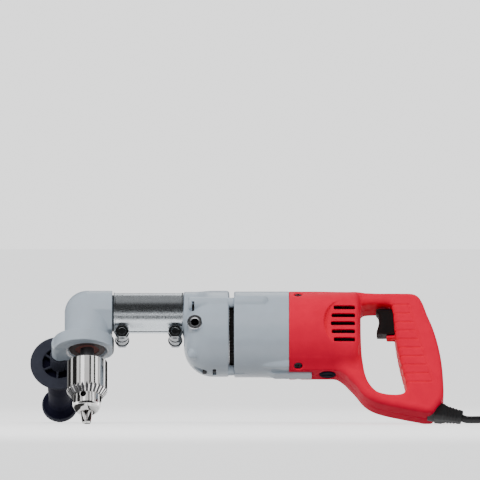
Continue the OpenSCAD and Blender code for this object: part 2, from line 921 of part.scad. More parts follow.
// The screw bosses reach the middle of the housing wall
web_r = motor_r - motor_wall / 2;
fair_r = pad_half * 0.7;

module at_turn(a, ring) {
  translate([0, -ring * sin(a), motor_z + ring * cos(a)])
    children();
}

module motor_housing() {
  color(grey)
    stand()
      difference() {
        union() {
          difference() {
            union() {
              rod_x(motor_x, rear_x, motor_r, motor_z);
              rod_x(rear_x - cut, rear_x + spigot_len, spigot_r, motor_z);
              for (a = [-60, 60])
                at_turn(a, ridge_ring) {
                  rod_x(motor_x, motor_x + motor_len * 0.5, ridge_r);
                  translate([motor_x + motor_len * 0.5, 0, 0])
                    sphere(r = ridge_r - free);
                }
              for (a = boss_turns)
                at_turn(a, motor_r - fair_r * 0.8)
                  cone_x(motor_x + motor_len * 0.45, rear_x, free, fair_r);
              block(pad_x, pad_end - pad_half, -pad_half, pad_half, pad_bottom, pad_top);
              rod_z(pad_bottom, pad_top, pad_half, pad_end - pad_half, 0);
            }
            rod_x(motor_x - cut, rear_x + cut, motor_r - motor_wall, motor_z);
            rod_x(rear_x, rear_x + spigot_len + cut, spigot_in_r, motor_z);
            rod_x(rear_x + spigot_len, pad_end + cut, motor_r, motor_z);
          }
          at_screws() rod_x(motor_x, screw_end + cut, screw_r * 2.2);
          for (a = screw_turns)
            translate([0, 0, motor_z])
              rotate([a, 0, 0])
                block(
                  motor_x + cut, screw_end, -screw_r, screw_r,
                  min(screw_ring, web_r), max(screw_ring, web_r)
                );
          for (a = [30 : 60 : 330])
            translate([0, 0, motor_z])
              rotate([a, 0, 0])
                block(field_x, field_end, -ridge_r / 2, ridge_r / 2, field_r - cut, motor_r - cut);
        }
        rod_x(field_x - cut, field_end + cut, field_r, motor_z);
        at_screws() rod_x(motor_x - cut, screw_end, screw_r);
        at_handle_screws()
          translate([0, 0, -cut])
            cylinder(h = motor_r, r = handle_screw_r);
      }
}

// Four screws hold the handle on the spigot
handle_screw_r = screw_r * 0.9;
handle_screw_turns = [-160, -45, 45, 160];
handle_screw_x = rear_x + spigot_len * 0.75;
screw_seat_r = motor_r - shell_wall * 0.6;

module at_handle_screws() {
  for (a = handle_screw_turns)
    translate([handle_screw_x, 0, motor_z])
      rotate([a, 0, 0])
        translate([0, 0, spigot_in_r])
          children();
}

module field_core() {
  color(steel)
    stand()
      pipe_x(field_x, field_end, field_r, core_r + air_gap, motor_z);
}

module field_coils() {
  color(copper)
    stand() {
      pipe_x(field_x - coil_w, field_x, field_r * 0.84, core_r + air_gap * 2, motor_z);
      pipe_x(field_end, field_end + coil_w, field_r * 0.84, core_r + air_gap * 2, motor_z);
    }
}

yoke_x = rear_x + spigot_len;
yoke_end = rear_x + handle_len * 0.335;
yoke_t = shell_wall * 1.2;
brush_x = rear_x + handle_len * 0.25;
rear_bearing_x = yoke_end - handle_len * 0.04;
comm_r = core_r * 0.6;
comm_w = handle_len * 0.07;
tube_r = cap_r * 0.66;
core_end = brush_x - tube_r - free * 3;
brush_half = tube_r * 0.55;
cap_h = shell_wall;

module armature_bearings() {
  color(steel)
    stand() {
      pipe_x(plate_x, case_end, armature_bearing_r, shaft_r + run, motor_z);
      pipe_x(rear_bearing_x, yoke_end, armature_bearing_r, shaft_r + run, motor_z);
    }
}

module armature_shaft() {
  color(steel)
    stand()
      union() {
        rod_x(plate_x - free, yoke_end - free, shaft_r, motor_z);
        spur_x(gear_1_x - free, face_1 + free * 5, teeth_a, mod_1, phase_1, motor_z, 0);
      }
}

module armature_core() {
  color(copper)
    stand() {
      pipe_x(field_x, field_end, core_r, shaft_r, motor_z);
      pipe_x(field_x - coil_w, field_x, core_r * 0.85, shaft_r, motor_z);
      pipe_x(field_end, core_end, core_r * 0.8, shaft_r, motor_z);
    }
}

module commutator() {
  color(copper)
    stand()
      pipe_x(core_end, brush_x + comm_w / 2, comm_r, shaft_r, motor_z);
}

fan_x = motor_x - vent_gap * 0.7;
fan_h = vent_gap * 1.7;
fan_t = vent_gap * 0.3;

module cooling_fan() {
  color(black)
    stand()
      difference() {
        union() {
          rod_x(fan_x, fan_x + fan_h, shaft_r * 2, motor_z);
          rod_x(fan_x + fan_h - fan_t, fan_x + fan_h, fan_r, motor_z);
          for (i = [0 : fan_blades - 1])
            translate([0, 0, motor_z])
              rotate([i * 360 / fan_blades, 0, 0])
                block(fan_x, fan_x + fan_h - fan_t / 2, -fan_t / 2, fan_t / 2, shaft_r * 2 - cut, fan_r);
        }
        rod_x(fan_x - cut, fan_x + fan_h + cut, shaft_r, motor_z);
      }
}

yoke_r = spigot_r;
yoke_half = tube_r + yoke_t;

module brush_yoke() {
  color(black)
    stand()
      difference() {
        union() {
          pipe_x(yoke_x, yoke_x + yoke_t * 2, yoke_r, spigot_in_r - yoke_t, motor_z);
          rod_x(rear_bearing_x, yoke_end, armature_bearing_r + yoke_t, motor_z);
          for (s = [0, 180])
            translate([0, 0, motor_z])
              rotate([s, 0, 0])
                block(yoke_x, yoke_end, -yoke_half, yoke_half, comm_r * 1.5, spigot_in_r);
          block(
            yoke_end - yoke_t * 2, yoke_end, -tube_r, tube_r, motor_z - spigot_in_r, motor_z + spigot_in_r
          );
        }
        rod_x(rear_bearing_x, yoke_end + cut, armature_bearing_r, motor_z);
        rod_x(yoke_x - cut, rear_bearing_x + cut, shaft_r * 1.5, motor_z);
        for (s = [-1, 1])
          translate([brush_x, 0, motor_z])
            rotate([s < 0 ? 180 : 0, 0, 0])
              cylinder(h = motor_r, r = tube_r);
      }
}

module brush_tubes() {
  color(bronze)
    stand()
      for (s = [0, 180])
        translate([brush_x, 0, motor_z])
          rotate([s, 0, 0])
            difference() {
              translate([0, 0, comm_r * 1.3])
                cylinder(h = motor_r - cap_h - comm_r * 1.3, r = tube_r);
              block(
                -brush_half, brush_half, -brush_half, brush_half, comm_r, motor_r + cut
              );
            }
}

module carbon_brushes() {
  color([0.2, 0.2, 0.2])
    stand()
      for (s = [0, 180])
        translate([brush_x, 0, motor_z])
          rotate([s, 0, 0])
            block(
              -brush_half, brush_half, -brush_half, brush_half,
              comm_r + run * 2, motor_r - cap_h
            );
}

module brush_caps() {
  color(black)
    stand()
      for (s = [0, 180])
        translate([brush_x, 0, motor_z])
          rotate([s, 0, 0])
            difference() {
              translate([0, 0, motor_r - cap_h])
                cylinder(h = cap_h + cut, r = cap_r);
              block(-cap_r * 0.7, cap_r * 0.7, -cut, cut, motor_r, motor_r + cut * 2);
            }
}

// Rear handle: a closed ring of rounded sections, then the motor body over it
ring_shares = [
  [0.454, 0.000, 0.471, 0.096], [0.584, 0.000, 0.567, 0.088], [0.726, 0.000, 0.646, 0.093],
  [0.816, 0.008, 0.672, 0.133], [0.861, 0.065, 0.678, 0.195], [0.895, 0.174, 0.683, 0.276],
  [0.933, 0.288, 0.692, 0.371], [0.966, 0.426, 0.706, 0.480], [0.989, 0.576, 0.726, 0.596],
  [1.000, 0.739, 0.751, 0.718], [0.999, 0.868, 0.761, 0.786], [0.963, 0.939, 0.745, 0.831],
  [0.916, 1.000, 0.709, 0.846], [0.816, 0.984, 0.658, 0.846], [0.717, 0.960, 0.609, 0.837],
  [0.618, 0.933, 0.567, 0.817], [0.539, 0.899, 0.531, 0.773], [0.480, 0.847, 0.502, 0.710],
  [0.425, 0.761, 0.480, 0.610], [0.372, 0.690, 0.464, 0.514], [0.330, 0.610, 0.456, 0.405],
  [0.326, 0.426, 0.453, 0.290], [0.340, 0.201, 0.453, 0.174], [0.390, 0.060, 0.456, 0.120]
];
ring_sides = 16;
ring_power = 0.6;
function bulge(v) = sign(v) * pow(abs(v), ring_power);
function handle_point(sx, sz) = [rear_x + handle_len * sx, handle_top - handle_deep * sz];
function ring_points(inset) = [
  for (s = ring_shares)
    let (o = handle_point(s[0], s[1]), i = handle_point(s[2], s[3]))
    let (c = (o + i) / 2, w = (o - i) / 2)
    let (k = (norm(w) - inset) / norm(w), h = handle_t / 2 - inset)
    for (j = [0 : ring_sides - 1])
      let (a = (j + 0.5) * 360 / ring_sides)
      let (p = c + w * k * bulge(cos(a)))
      [p[0], h * bulge(sin(a)), p[1]]
];

module ring(inset) {
  n = len(ring_shares);
  m = ring_sides;
  quads = [
    for (i = [0 : n - 1], j = [0 : m - 1])
      let (i2 = (i + 1) % n, j2 = (j + 1) % m)
      [i * m + j, i * m + j2, i2 * m + j2, i2 * m + j]
  ];
  faces = [for (q = quads, t = [[0, 1, 2], [0, 2, 3]]) [q[t[0]], q[t[1]], q[t[2]]]];
  polyhedron(points = ring_points(inset), faces = faces);
}

body_x = rear_x + handle_len * 0.17;
body_end = rear_x + handle_len * 0.4525;
body_half = handle_t * 0.95;
body_low = motor_z - motor_r * 0.95;
body_round = handle_t * 0.2;

module body(inset) {
  corner = body_round - inset / 2;
  side = body_half - inset - corner;
  high = handle_top - inset - corner;
  low = body_low + inset + corner;
  rod_x(rear_x - cut, body_x + cut, motor_r - inset, motor_z);
  hull() {
    rod_x(body_x, body_x + cut, motor_r - inset, motor_z, $fn = 64);
    for (y = [-side, side], z = [low, high])
      rod_x(body_end - body_round, body_end - inset, corner, z, y, $fn = 32);
  }
}

vent_x = rear_x + handle_len * 0.293;
vent_len = handle_len * 0.147;
vent_step = motor_r * 0.2;
grip_x = handle_point(0.683, 0)[0];
trigger_top = handle_top - handle_deep * 0.118;
trigger_low = trigger_top - trigger_h;
boot_base = handle_point(0.955, 0.95);
boot_drop_end = stand_h - cord_r * 1.6;
boot_tip_z = -boot_drop_end / cos(lean);
boot_lean = asin((boot_base[1] - boot_tip_z) / boot_len);
switch_x = grip_x + trigger_travel + handle_len * 0.06;
switch_end = switch_x + handle_len * 0.08;
switch_half = trigger_w * 0.52;
shell_screw_shares = [[0.84, 0.12], [0.80, 0.915], [0.55, 0.852]];
shell_screw_r = screw_r * 0.8;

module at_boot() {
  translate([boot_base[0], 0, boot_base[1]])
    rotate([0, 90 + boot_lean, 0])
      children();
}

module at_shell_screws() {
  for (s = shell_screw_shares)
    let (p = handle_point(s[0], s[1]))
    translate([p[0], 0, p[1]])
      rotate([-90, 0, 0])
        children();
}

module handle_cuts() {
  rod_x(rear_x - cut * 3, rear_x, motor_r * 2, motor_z);
  block(pad_x, yoke_x, -pad_half, pad_half, pad_bottom - motor_r, motor_z - spigot_in_r);
  for (i = [0 : vents - 1])
    let (z = motor_z + (i - (vents - 1) / 2) * vent_step)
    block(vent_x, vent_x + vent_len, -motor_r, motor_r, z - vent_h / 2, z + vent_h / 2);
  for (s = [0, 180])
    translate([brush_x, 0, motor_z])
      rotate([s, 0, 0])
        cylinder(h = motor_r * 2, r = cap_r);
  at_handle_screws()
    cylinder(h = motor_r, r = handle_screw_r);
  at_handle_screws()
    translate([0, 0, screw_seat_r - spigot_in_r])
      cylinder(h = motor_r, r = handle_screw_r * 2);
  block(
    grip_x - trigger_out, switch_x, -trigger_w / 2 - free, trigger_w / 2 + free,
    trigger_low - free, trigger_top + free
  );
  at_boot()
    translate([0, 0, -shell_wall * 3])
      cylinder(h = boot_len, r = boot_r);
  at_shell_screws()
    translate([0, 0, -handle_t * 0.2])
      cylinder(h = handle_t * 1.2, r = shell_screw_r);
  at_shell_screws()
    translate([0, 0, handle_t * 0.4])
      cylinder(h = handle_t, r = shell_screw_r * 2);
}

module screw_posts() {
  at_shell_screws()
    translate([0, 0, -handle_t * 0.45])
      cylinder(h = handle_t * 0.9, r = shell_screw_r * 2.4);
}

module handle_half(side) {
  long = handle_len * 2;
  wide = handle_t * 2;
  difference() {
    union() {
      difference() {
        union() {
          body(0);
          ring(0);
        }
        body(shell_wall);
        ring(shell_wall);
      }
      intersection() {
        screw_posts();
        ring(cut);
      }
    }
    handle_cuts();
    translate([rear_x - cut, side > 0 ? -wide : 0, -long])
      cube([long, wide, long * 2]);
  }
}

module handle_left() {
  color(red)
    stand()
      handle_half(-1);
}

module handle_right() {
  color(red)
    stand()
      handle_half(1);
}

module handle_screws() {
  deep = screw_seat_r - spigot_in_r;
  color(steel)
    stand()
      at_handle_screws() {
        cylinder(h = deep + run, r = handle_screw_r);
        translate([0, 0, deep])
          cylinder(h = motor_r - screw_seat_r, r = handle_screw_r * 1.9);
      }
}

module shell_screws() {
  color(steel)
    stand()
      at_shell_screws() {
        translate([0, 0, -handle_t * 0.2])
          cylinder(h = handle_t * 0.61, r = shell_screw_r);
        translate([0, 0, handle_t * 0.4])
          cylinder(h = shell_screw_r * 1.2, r = shell_screw_r * 1.9);
      }
}

module switch_body() {
  color(black)
    stand() {
      block(
        switch_x, switch_end, -switch_half, switch_half,
        trigger_low - trigger_h * 0.25, trigger_top - trigger_h * 0.3
      );
      for (s = [-1, 1])
        block(
          switch_x + handle_len * 0.02, switch_end - handle_len * 0.02,
          min(s * switch_half, s * (handle_t / 2 - shell_wall * 0.8)),
          max(s * switch_half, s * (handle_t / 2 - shell_wall * 0.8)),
          trigger_low + trigger_h * 0.1, trigger_low + trigger_h * 0.5
        );
    }
}

// Trigger front as shares of its stand-out and height, top to bottom
trigger_shares = [
  [0.02, 0.00], [0.00, 0.10], [0.12, 0.20], [0.17, 0.36], [0.16, 0.54], [0.10, 0.74], [0.03, 0.90],
  [0.06, 1.00]
];

module trigger() {
  front = grip_x - trigger_out;
  back = switch_x - trigger_travel - free;
  side = concat(
    [for (s = trigger_shares) [front + trigger_out * s[0], trigger_top - trigger_h * s[1]]],
    [[back, trigger_low], [back, trigger_top]]
  );
  color(black)
    stand()
      translate([0, trigger_w / 2, 0])
        rotate([90, 0, 0])
          linear_extrude(trigger_w)
            polygon(side);
}

module cord_boot() {
  color(black)
    stand()
      at_boot()
        difference() {
          union() {
            translate([0, 0, -shell_wall * 3])
              cylinder(h = shell_wall * 3 + cut, r = boot_r);
            cylinder(h = boot_len, r1 = boot_r, r2 = boot_end_r);
          }
          translate([0, 0, boot_len * 0.5])
            cylinder(h = boot_len, r = cord_r);
        }
}

// Cord on the floor, in the standing frame
boot_dir = [cos(boot_lean), -sin(boot_lean) * sin(lean), -sin(boot_lean) * cos(lean)];
function standing(p) = [
  p[0] - mid_x,
  p[1] * cos(lean) + p[2] * sin(lean) - mid_y,
  stand_h - p[1] * sin(lean) + p[2] * cos(lean)
];
boot_tip = standing([boot_base[0], 0, boot_base[1]]) + boot_len * boot_dir;
lead_start = boot_tip - boot_dir * boot_len * 0.5;
layer_step = cord_r * 2 * coil_pitch_ratio;
turn_step = cord_r * 2 * coil_pitch_ratio;
coil_low = cord_r + tie_t;
coil_out = coil_r + turn_step * coil_turns / 2;
coil_in = coil_out - turn_step * (coil_turns + 0.25);
coil_mid = [boot_tip[0] + coil_r * 2.2, boot_tip[1] + coil_out];
coil_start_a = -90;
loop_rings = 24;
rev_turns = 0.5;
coil_half = coil_turns + rev_turns / 2;

// Angle runs on; radius falls to the middle of the run and grows again after it
function coil_point(u) =
  let (a = coil_start_a + u * 360)
  let (r = coil_out - turn_step * (min(u, coil_half) - max(u - coil_half, 0)))
  let (turn = min(max(u - coil_turns, 0), rev_turns) / rev_turns)
  let (z = coil_low + layer_step * (1 - cos(turn * 180)) / 2)
  [coil_mid[0] + r * cos(a), coil_mid[1] + r * sin(a), z];
coil_span = coil_half * 2;
coil_steps = ceil(coil_span * loop_rings);
coil_core = [for (i = [0 : coil_steps]) coil_point(coil_span * i / coil_steps)];
function unit(v) = v / norm(v);
coil_in_dir = unit(coil_core[0] - coil_core[1]);
coil_out_dir = unit(coil_core[coil_steps] - coil_core[coil_steps - 1]);
coil_head = coil_core[0] + coil_in_dir * cord_r * 2;
coil_foot = coil_core[coil_steps] + coil_out_dir * cord_r * 2;
coil_path = concat([coil_head], coil_core, [coil_foot]);

function tangent(p, i) = unit(p[min(i + 1, len(p) - 1)] - p[max(i - 1, 0)]);
function tube_ring(p, t, r, sides) =
  let (n = unit(cross(t, [0, 0, 1])), b = cross(n, t))
  [for (j = [0 : sides - 1]) let (a = (j + 0.5) * 360 / sides) p + r * (cos(a) * n + sin(a) * b)];

module tube(path, r, sides) {
  n = len(path);
  rings = [for (i = [0 : n - 1]) each tube_ring(path[i], tangent(path, i), r, sides)];
  walls = [
    for (i = [0 : n - 2], j = [0 : sides - 1])
      let (j2 = (j + 1) % sides)
      each [
        [i * sides + j, i * sides + j2, (i + 1) * sides + j2],
        [i * sides + j, (i + 1) * sides + j2, (i + 1) * sides + j]
      ]
  ];
  first = [for (j = [1 : sides - 2]) [0, j + 1, j]];
  last = [for (j = [1 : sides - 2]) [(n - 1) * sides, (n - 1) * sides + j, (n - 1) * sides + j + 1]];
  polyhedron(points = rings, faces = concat(walls, first, last));
}

// Smooth run through the route points, each span cut into equal steps
function bend(a, b, c, d, t) =
  0.5 * (2 * b + (c - a) * t + (2 * a - 5 * b + 4 * c - d) * t ^ 2 + (3 * b - a - 3 * c + d) * t ^ 3);
function smooth(p, steps) = concat(
  [
    for (i = [0 : len(p) - 2], k = [0 : steps - 1])
      bend(p[max(i - 1, 0)], p[i], p[i + 1], p[min(i + 2, len(p) - 1)], k / steps)
  ],
  [p[len(p) - 1]]
);

lead_route = [
  lead_start,
  boot_tip,
  boot_tip + boot_dir * cord_r * 2,
  [boot_tip[0] + coil_r * 0.7, boot_tip[1], coil_low],
  [boot_tip[0] + coil_r * 1.2, coil_head[1], coil_low],
  coil_head + coil_in_dir * cord_r * 4,
  coil_head
];
// The tail leaves the top of the coil, turns back on the floor and ends in the plug
tail_r = cord_r * 9;
tail_from = coil_foot + coil_out_dir * cord_r * 2;
tail_mid = [tail_from[0], tail_from[1] - tail_r];
plug_x = tail_mid[0] - plug_len * 1.6;
plug_y = tail_mid[1] - tail_r;
plug_z = plug_r;
tail_turns = [72, 54, 36, 18, 0, -18, -36, -54, -72];
tail_route = concat(
  [coil_foot, tail_from],
  [
    for (a = tail_turns)
      let (k = a > 0 ? sin(a) ^ 2 : 0, h = a < 0 ? (1 - cos(2 * a)) / 2 : 0)
      let (z = coil_low + (coil_foot[2] - coil_low) * k + (plug_z - coil_low) * h)
      [tail_mid[0] + tail_r * cos(a), tail_mid[1] + tail_r * sin(a), z]
  ],
  [
    [tail_mid[0], plug_y, plug_z],
    [plug_x + plug_len * 1.2, plug_y, plug_z],
    [plug_x + plug_len * 0.8, plug_y, plug_z]
  ]
);

module cord_lead() {
  color(black)
    tube(smooth(lead_route, 4), cord_r, 10);
}

module cord_coil() {
  color(black)
    tube(coil_path, cord_r, 6);
}

module cord_tail() {
  color(black)
    tube(smooth(tail_route, 3), cord_r, 10);
}

// Tie round the turns, standing across the coil
tie_a = 100;
tie_in = coil_in - cord_r - tie_t;
tie_out = coil_out + cord_r + tie_t;
tie_high = coil_low + layer_step + cord_r;

module cord_tie() {
  color(black)
    translate([coil_mid[0], coil_mid[1], 0])
      rotate([0, 0, tie_a])
        difference() {
          block(tie_in - tie_t, tie_out + tie_t, -tie_w / 2, tie_w / 2, 0, tie_high + tie_t);
          block(tie_in, tie_out, -tie_w, tie_w, tie_t, tie_high);
        }
}

module plug_body() {
  color(black)
    difference() {
      union() {
        rod_x(plug_x, plug_x + plug_len * 0.5, plug_r, plug_z, plug_y);
        cone_x(plug_x + plug_len * 0.5, plug_x + plug_len, plug_r, plug_r * 0.5, plug_z, plug_y);
      }
      rod_x(plug_x + plug_len * 0.8, plug_x + plug_len + cut, cord_r, plug_z, plug_y);
    }
}

pin_len = plug_len * 0.55;
pin_w = plug_r * 0.42;
pin_t = plug_r * 0.1;
pin_gap = plug_r * 0.42;

module plug_pins() {
  color(bronze) {
    for (s = [-1, 1])
      block(
        plug_x - pin_len, plug_x, plug_y + s * pin_gap - pin_t / 2, plug_y + s * pin_gap + pin_t / 2,
        plug_z + pin_w * 0.2, plug_z + pin_w * 1.2
      );
    rod_x(plug_x - pin_len, plug_x, pin_w * 0.38, plug_z - pin_w, plug_y);
  }
}

// Least gap between strands of the coil that are more than a third of a turn apart
skip = loop_rings / 3;
coil_gap = min([
  for (i = [0 : coil_steps], j = [i + skip : 1 : coil_steps]) norm(coil_core[i] - coil_core[j])
]) - cord_r * 2;
echo(lean = lean, stand_h = stand_h, handle_drop = handle_drop, coil_gap = coil_gap);

angle_head_casing();
clamp_sleeve();
clamp_bolts();
clamp_nuts();
side_handle_grip();
side_handle_stud();
input_bearings();
spindle_bearings();
bearing_retainer();
spindle_seal();
input_shaft();
bevel_pinion();
chuck_spindle();
bevel_gear();
chuck_body();
chuck_sleeve();
chuck_nut();
chuck_jaw_1();
chuck_jaw_2();
chuck_jaw_3();
gear_case();
gear_case_plate();
gear_case_screws();
output_bearings();
output_spindle();
output_gear();
idler_bushes();
idler_shaft();
idler_gear();
motor_housing();
field_core();
field_coils();
armature_bearings();
armature_shaft();
armature_core();
commutator();
cooling_fan();
brush_yoke();
brush_tubes();
carbon_brushes();
brush_caps();
handle_left();
handle_right();
handle_screws();
shell_screws();
switch_body();
trigger();
cord_boot();
cord_lead();
cord_coil();
cord_tail();
cord_tie();
plug_body();
plug_pins();
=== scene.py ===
"""Looks of the right angle drill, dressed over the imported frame."""
import json
from functools import reduce
from itertools import product
from math import asin, atan, atan2, cos, pi, radians, sin, sqrt

import bpy
import numpy as np
from mathutils import Matrix, Vector
from numpy import clip, exp, hypot, maximum, minimum


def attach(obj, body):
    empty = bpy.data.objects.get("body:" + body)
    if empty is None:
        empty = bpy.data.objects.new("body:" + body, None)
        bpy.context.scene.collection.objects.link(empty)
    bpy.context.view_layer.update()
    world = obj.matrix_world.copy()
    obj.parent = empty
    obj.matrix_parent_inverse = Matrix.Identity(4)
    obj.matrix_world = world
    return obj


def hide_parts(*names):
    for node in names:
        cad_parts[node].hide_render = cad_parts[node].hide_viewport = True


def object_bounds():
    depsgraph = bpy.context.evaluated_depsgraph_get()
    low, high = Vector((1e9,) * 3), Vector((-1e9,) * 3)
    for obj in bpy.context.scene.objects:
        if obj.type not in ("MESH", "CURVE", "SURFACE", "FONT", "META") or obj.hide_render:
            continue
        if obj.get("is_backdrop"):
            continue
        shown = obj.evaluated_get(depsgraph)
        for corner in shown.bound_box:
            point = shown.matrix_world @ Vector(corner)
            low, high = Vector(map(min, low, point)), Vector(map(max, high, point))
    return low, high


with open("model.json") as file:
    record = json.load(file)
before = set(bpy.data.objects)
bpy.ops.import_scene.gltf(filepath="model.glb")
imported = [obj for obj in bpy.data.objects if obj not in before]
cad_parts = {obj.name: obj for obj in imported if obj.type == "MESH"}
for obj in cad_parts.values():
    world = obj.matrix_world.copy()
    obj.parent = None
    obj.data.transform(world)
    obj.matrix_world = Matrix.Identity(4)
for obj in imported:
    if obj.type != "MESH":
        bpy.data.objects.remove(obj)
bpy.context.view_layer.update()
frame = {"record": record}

scene = bpy.context.scene

# Sizes of the solids, in millimetres, in the tool's own frame
TIP_DEEP, TIP_R = 137.2, 3.96
BOSS_X, BOSS_DROP, BOSS_REACH, SIDE_LEN, END_R = 33.0, 39.5, 29.0, 146.0, 20.7
GUARD_R, GUARD_GAP, HUB_R, GRIP_R = 32.0, 22.4, 10.0, 13.0
HEAD_R, HEAD_REACH, HEAD_DROP = 26.0, 28.8, 47.5
FLANGE_R, FLANGE_H, HEAD_BORE, MOUTH = 30.5, 14.4, 20.4, 3.0
NECK_R, NECK_LEN, INPUT_BORE = 21.0, 26.0, 17.5
SLEEVE_X, SLEEVE_END, SLEEVE_R = 30.4, 110.9, 23.4
LUG_XS, LUG_DROP, LUG_HALF = (40.1, 101.2), 29.0, 10.5
CASE_X, CASE_END, CASE_R, DOME_R, BARREL_R = 111.2, 163.5, 48.8, 34.0, 24.8
ROOM_X, ROOM_R, OUT_ROOM = 116.2, 41.4, 21.5
SOCKET_X, SOCKET_Z, SOCKET_REACH, SOCKET_R, SOCKET_BORE = 123.8, -31.0, 46.0, 9.0, 4.2
MOTOR_X, REAR_X, MOTOR_R, MOTOR_Z, MOTOR_WALL = 168.7, 232.0, 49.4, -26.6, 3.5
SPIGOT_END, SPIGOT_R, SPIGOT_IN = 245.93, 46.48, 42.98
SCREW_RING, SCREW_R, SCREW_SEAT = 45.0, 2.4, 137.35
PAD_X, PAD_END, PAD_LOOK, PAD_BOTTOM = 210.48, 258.0, 7.6, -79.5
HANDLE_LEN, HANDLE_TOP, HANDLE_HALF, WALL = 176.8, 17.6, 21.0, 2.8
BRUSH_X, CAP_R = 276.2, 9.5
TRIGGER_W, TRIGGER_H, TRIGGER_OUT = 20.0, 31.4, 21.0
CORD_R, BOOT_LEN, BOOT_R = 4.25, 30.0, 11.5
COIL_R, COIL_PITCH, COIL_TURNS, TIE_T = 51.0, 1.09, 3.25, 1.2
PLUG_R, PLUG_LEN = 15.0, 34.0
LUG_R, BOLT_R, HEX_R, HEX_H = 7.3, 3.9, 8.3, 5.6
CHUCK_R, CHUCK_TOP, CONE_TOP, CONE_END, NOSE_R, NOSE_END = 23.4, 61.4, 98.6, 105.3, 16.8, 124.7
KEY_TEETH, KEY_R, KEY_TURN, JAW_R, JAW_SLOPE, BIT_R = 28, 3.3, 255, 3.3, 12, 6.6
IDLER_Y, IDLER_Z, IDLER_BUSH_R, IDLER_BORE, OUT_BORE = 18.54, -16.02, 8.6, 5.76, 8.6
STUD_BORE, SEAT_R, SCREW_TURNS, SCREW_AT = 4.75, 4.9, (-160, -45, 45, 160), 242.4
RIDGE_TURNS, CASE_SCREW_TURNS, LOW_SCREW = (-60, 60), (60, 180, 300), 180

# The lean that stands the tool on its jaws, side handle and rear handle
LEAN = atan((TIP_DEEP - BOSS_DROP - END_R) / (BOSS_REACH + SIDE_LEN - TIP_R))
COS, SIN = cos(LEAN), sin(LEAN)
STAND_H = TIP_DEEP * COS + TIP_R * SIN
HEEL = HANDLE_HALF * 0.74
HANDLE_DROP = (STAND_H - HEEL * SIN) / COS
HANDLE_DEEP = HANDLE_TOP + HANDLE_DROP
MID_X = (REAR_X + HANDLE_LEN - BOSS_X - GUARD_R) / 2
MID_Y = (
    (BOSS_REACH + SIDE_LEN) * COS - (BOSS_DROP - END_R) * SIN - HEEL * COS - HANDLE_DROP * SIN
) / 2
MM = 0.001


def to_row(points):
    """Tool millimetres to row metres."""
    p = np.asarray(points, dtype=float)
    x, y, z = p[..., 0], p[..., 1], p[..., 2]
    row = (x - MID_X, y * COS + z * SIN - MID_Y, STAND_H - y * SIN + z * COS)
    return np.stack(row, axis=-1) * MM


def handle_point(sx, sz):
    return np.array([REAR_X + HANDLE_LEN * sx, HANDLE_TOP - HANDLE_DEEP * sz])


# Camera: level, square to the tube, with a long lens
SCALE = 1.15 * MM
FRAME_PX, AXIS_PX, AXIS_PY = 480, 87.3, 313.4
CAMERA_FAR = 20.0
camera_data = bpy.data.cameras.new("camera")
camera = bpy.data.objects.new("camera", camera_data)
scene.collection.objects.link(camera)
camera_data.sensor_width = 36
camera_data.lens = 36 * CAMERA_FAR / (FRAME_PX * SCALE)
camera_data.clip_end = 400
camera.location = (
    (FRAME_PX / 2 - AXIS_PX) * SCALE - MID_X * MM,
    -MID_Y * MM - CAMERA_FAR,
    STAND_H * MM + (AXIS_PY - FRAME_PX / 2) * SCALE,
)
camera.rotation_euler = (pi / 2, 0, 0)
scene.camera = camera


# Materials
def node(tree, kind, **values):
    made = tree.nodes.new("ShaderNode" + kind)
    for key, value in values.items():
        if key in made.inputs:
            made.inputs[key].default_value = value
        else:
            setattr(made, key, value)
    return made


def remap(tree, *ends):
    """Node that maps a range of values, the first two ends, to the range of the others."""
    made = node(tree, "MapRange")
    for key, end in zip(("From Min", "From Max", "To Min", "To Max"), ends):
        made.inputs[key].default_value = end
    return made


def join(tree, *links):
    """Links, each from a node's output to a node's input."""
    for source, out, target, into in links:
        tree.links.new(source.outputs[out], target.inputs[into])


RELIEF_DEEP = 0.0002


def material(
    name, colour, rough, metal=0.0, vary=0.2, rough_vary=0.08, grain=900.0, bump=0.08,
    stretch=(1, 1, 1), blotch=60.0, spec=0.5,
):
    """Surface with mottled colour, uneven gloss and a fine relief."""
    mat = bpy.data.materials.new(name)
    mat.use_nodes = True
    tree = mat.node_tree
    shader = tree.nodes["Principled BSDF"]
    shader.inputs["Metallic"].default_value = metal
    shader.inputs["Specular IOR Level"].default_value = spec
    where = node(tree, "TexCoord")
    turn = node(tree, "Mapping")
    turn.inputs["Rotation"].default_value = (LEAN, 0, 0)
    turn.inputs["Scale"].default_value = stretch
    wide = node(tree, "TexNoise", Scale=blotch, Detail=5.0, Roughness=0.6)
    fine = node(tree, "TexNoise", Scale=grain, Detail=3.0, Roughness=0.55)
    ramp = node(tree, "ValToRGB")
    for stop, place, tone in zip(ramp.color_ramp.elements, (0.3, 0.7), (1 - vary, 1 + vary)):
        stop.position = place
        stop.color = (*(min(1, c * tone) for c in colour), 1)
    span = remap(tree, 0, 1, max(0.02, rough - rough_vary), rough + rough_vary)
    relief = node(tree, "Bump", Strength=bump, Distance=RELIEF_DEEP)
    join(
        tree,
        (where, "Object", turn, "Vector"),
        (where, "Object", wide, "Vector"),
        (turn, "Vector", fine, "Vector"),
        (wide, "Fac", ramp, "Fac"),
        (ramp, "Color", shader, "Base Color"),
        (fine, "Fac", span, "Value"),
        (span, "Result", shader, "Roughness"),
        (fine, "Fac", relief, "Height"),
        (relief, "Normal", shader, "Normal"),
    )
    return mat


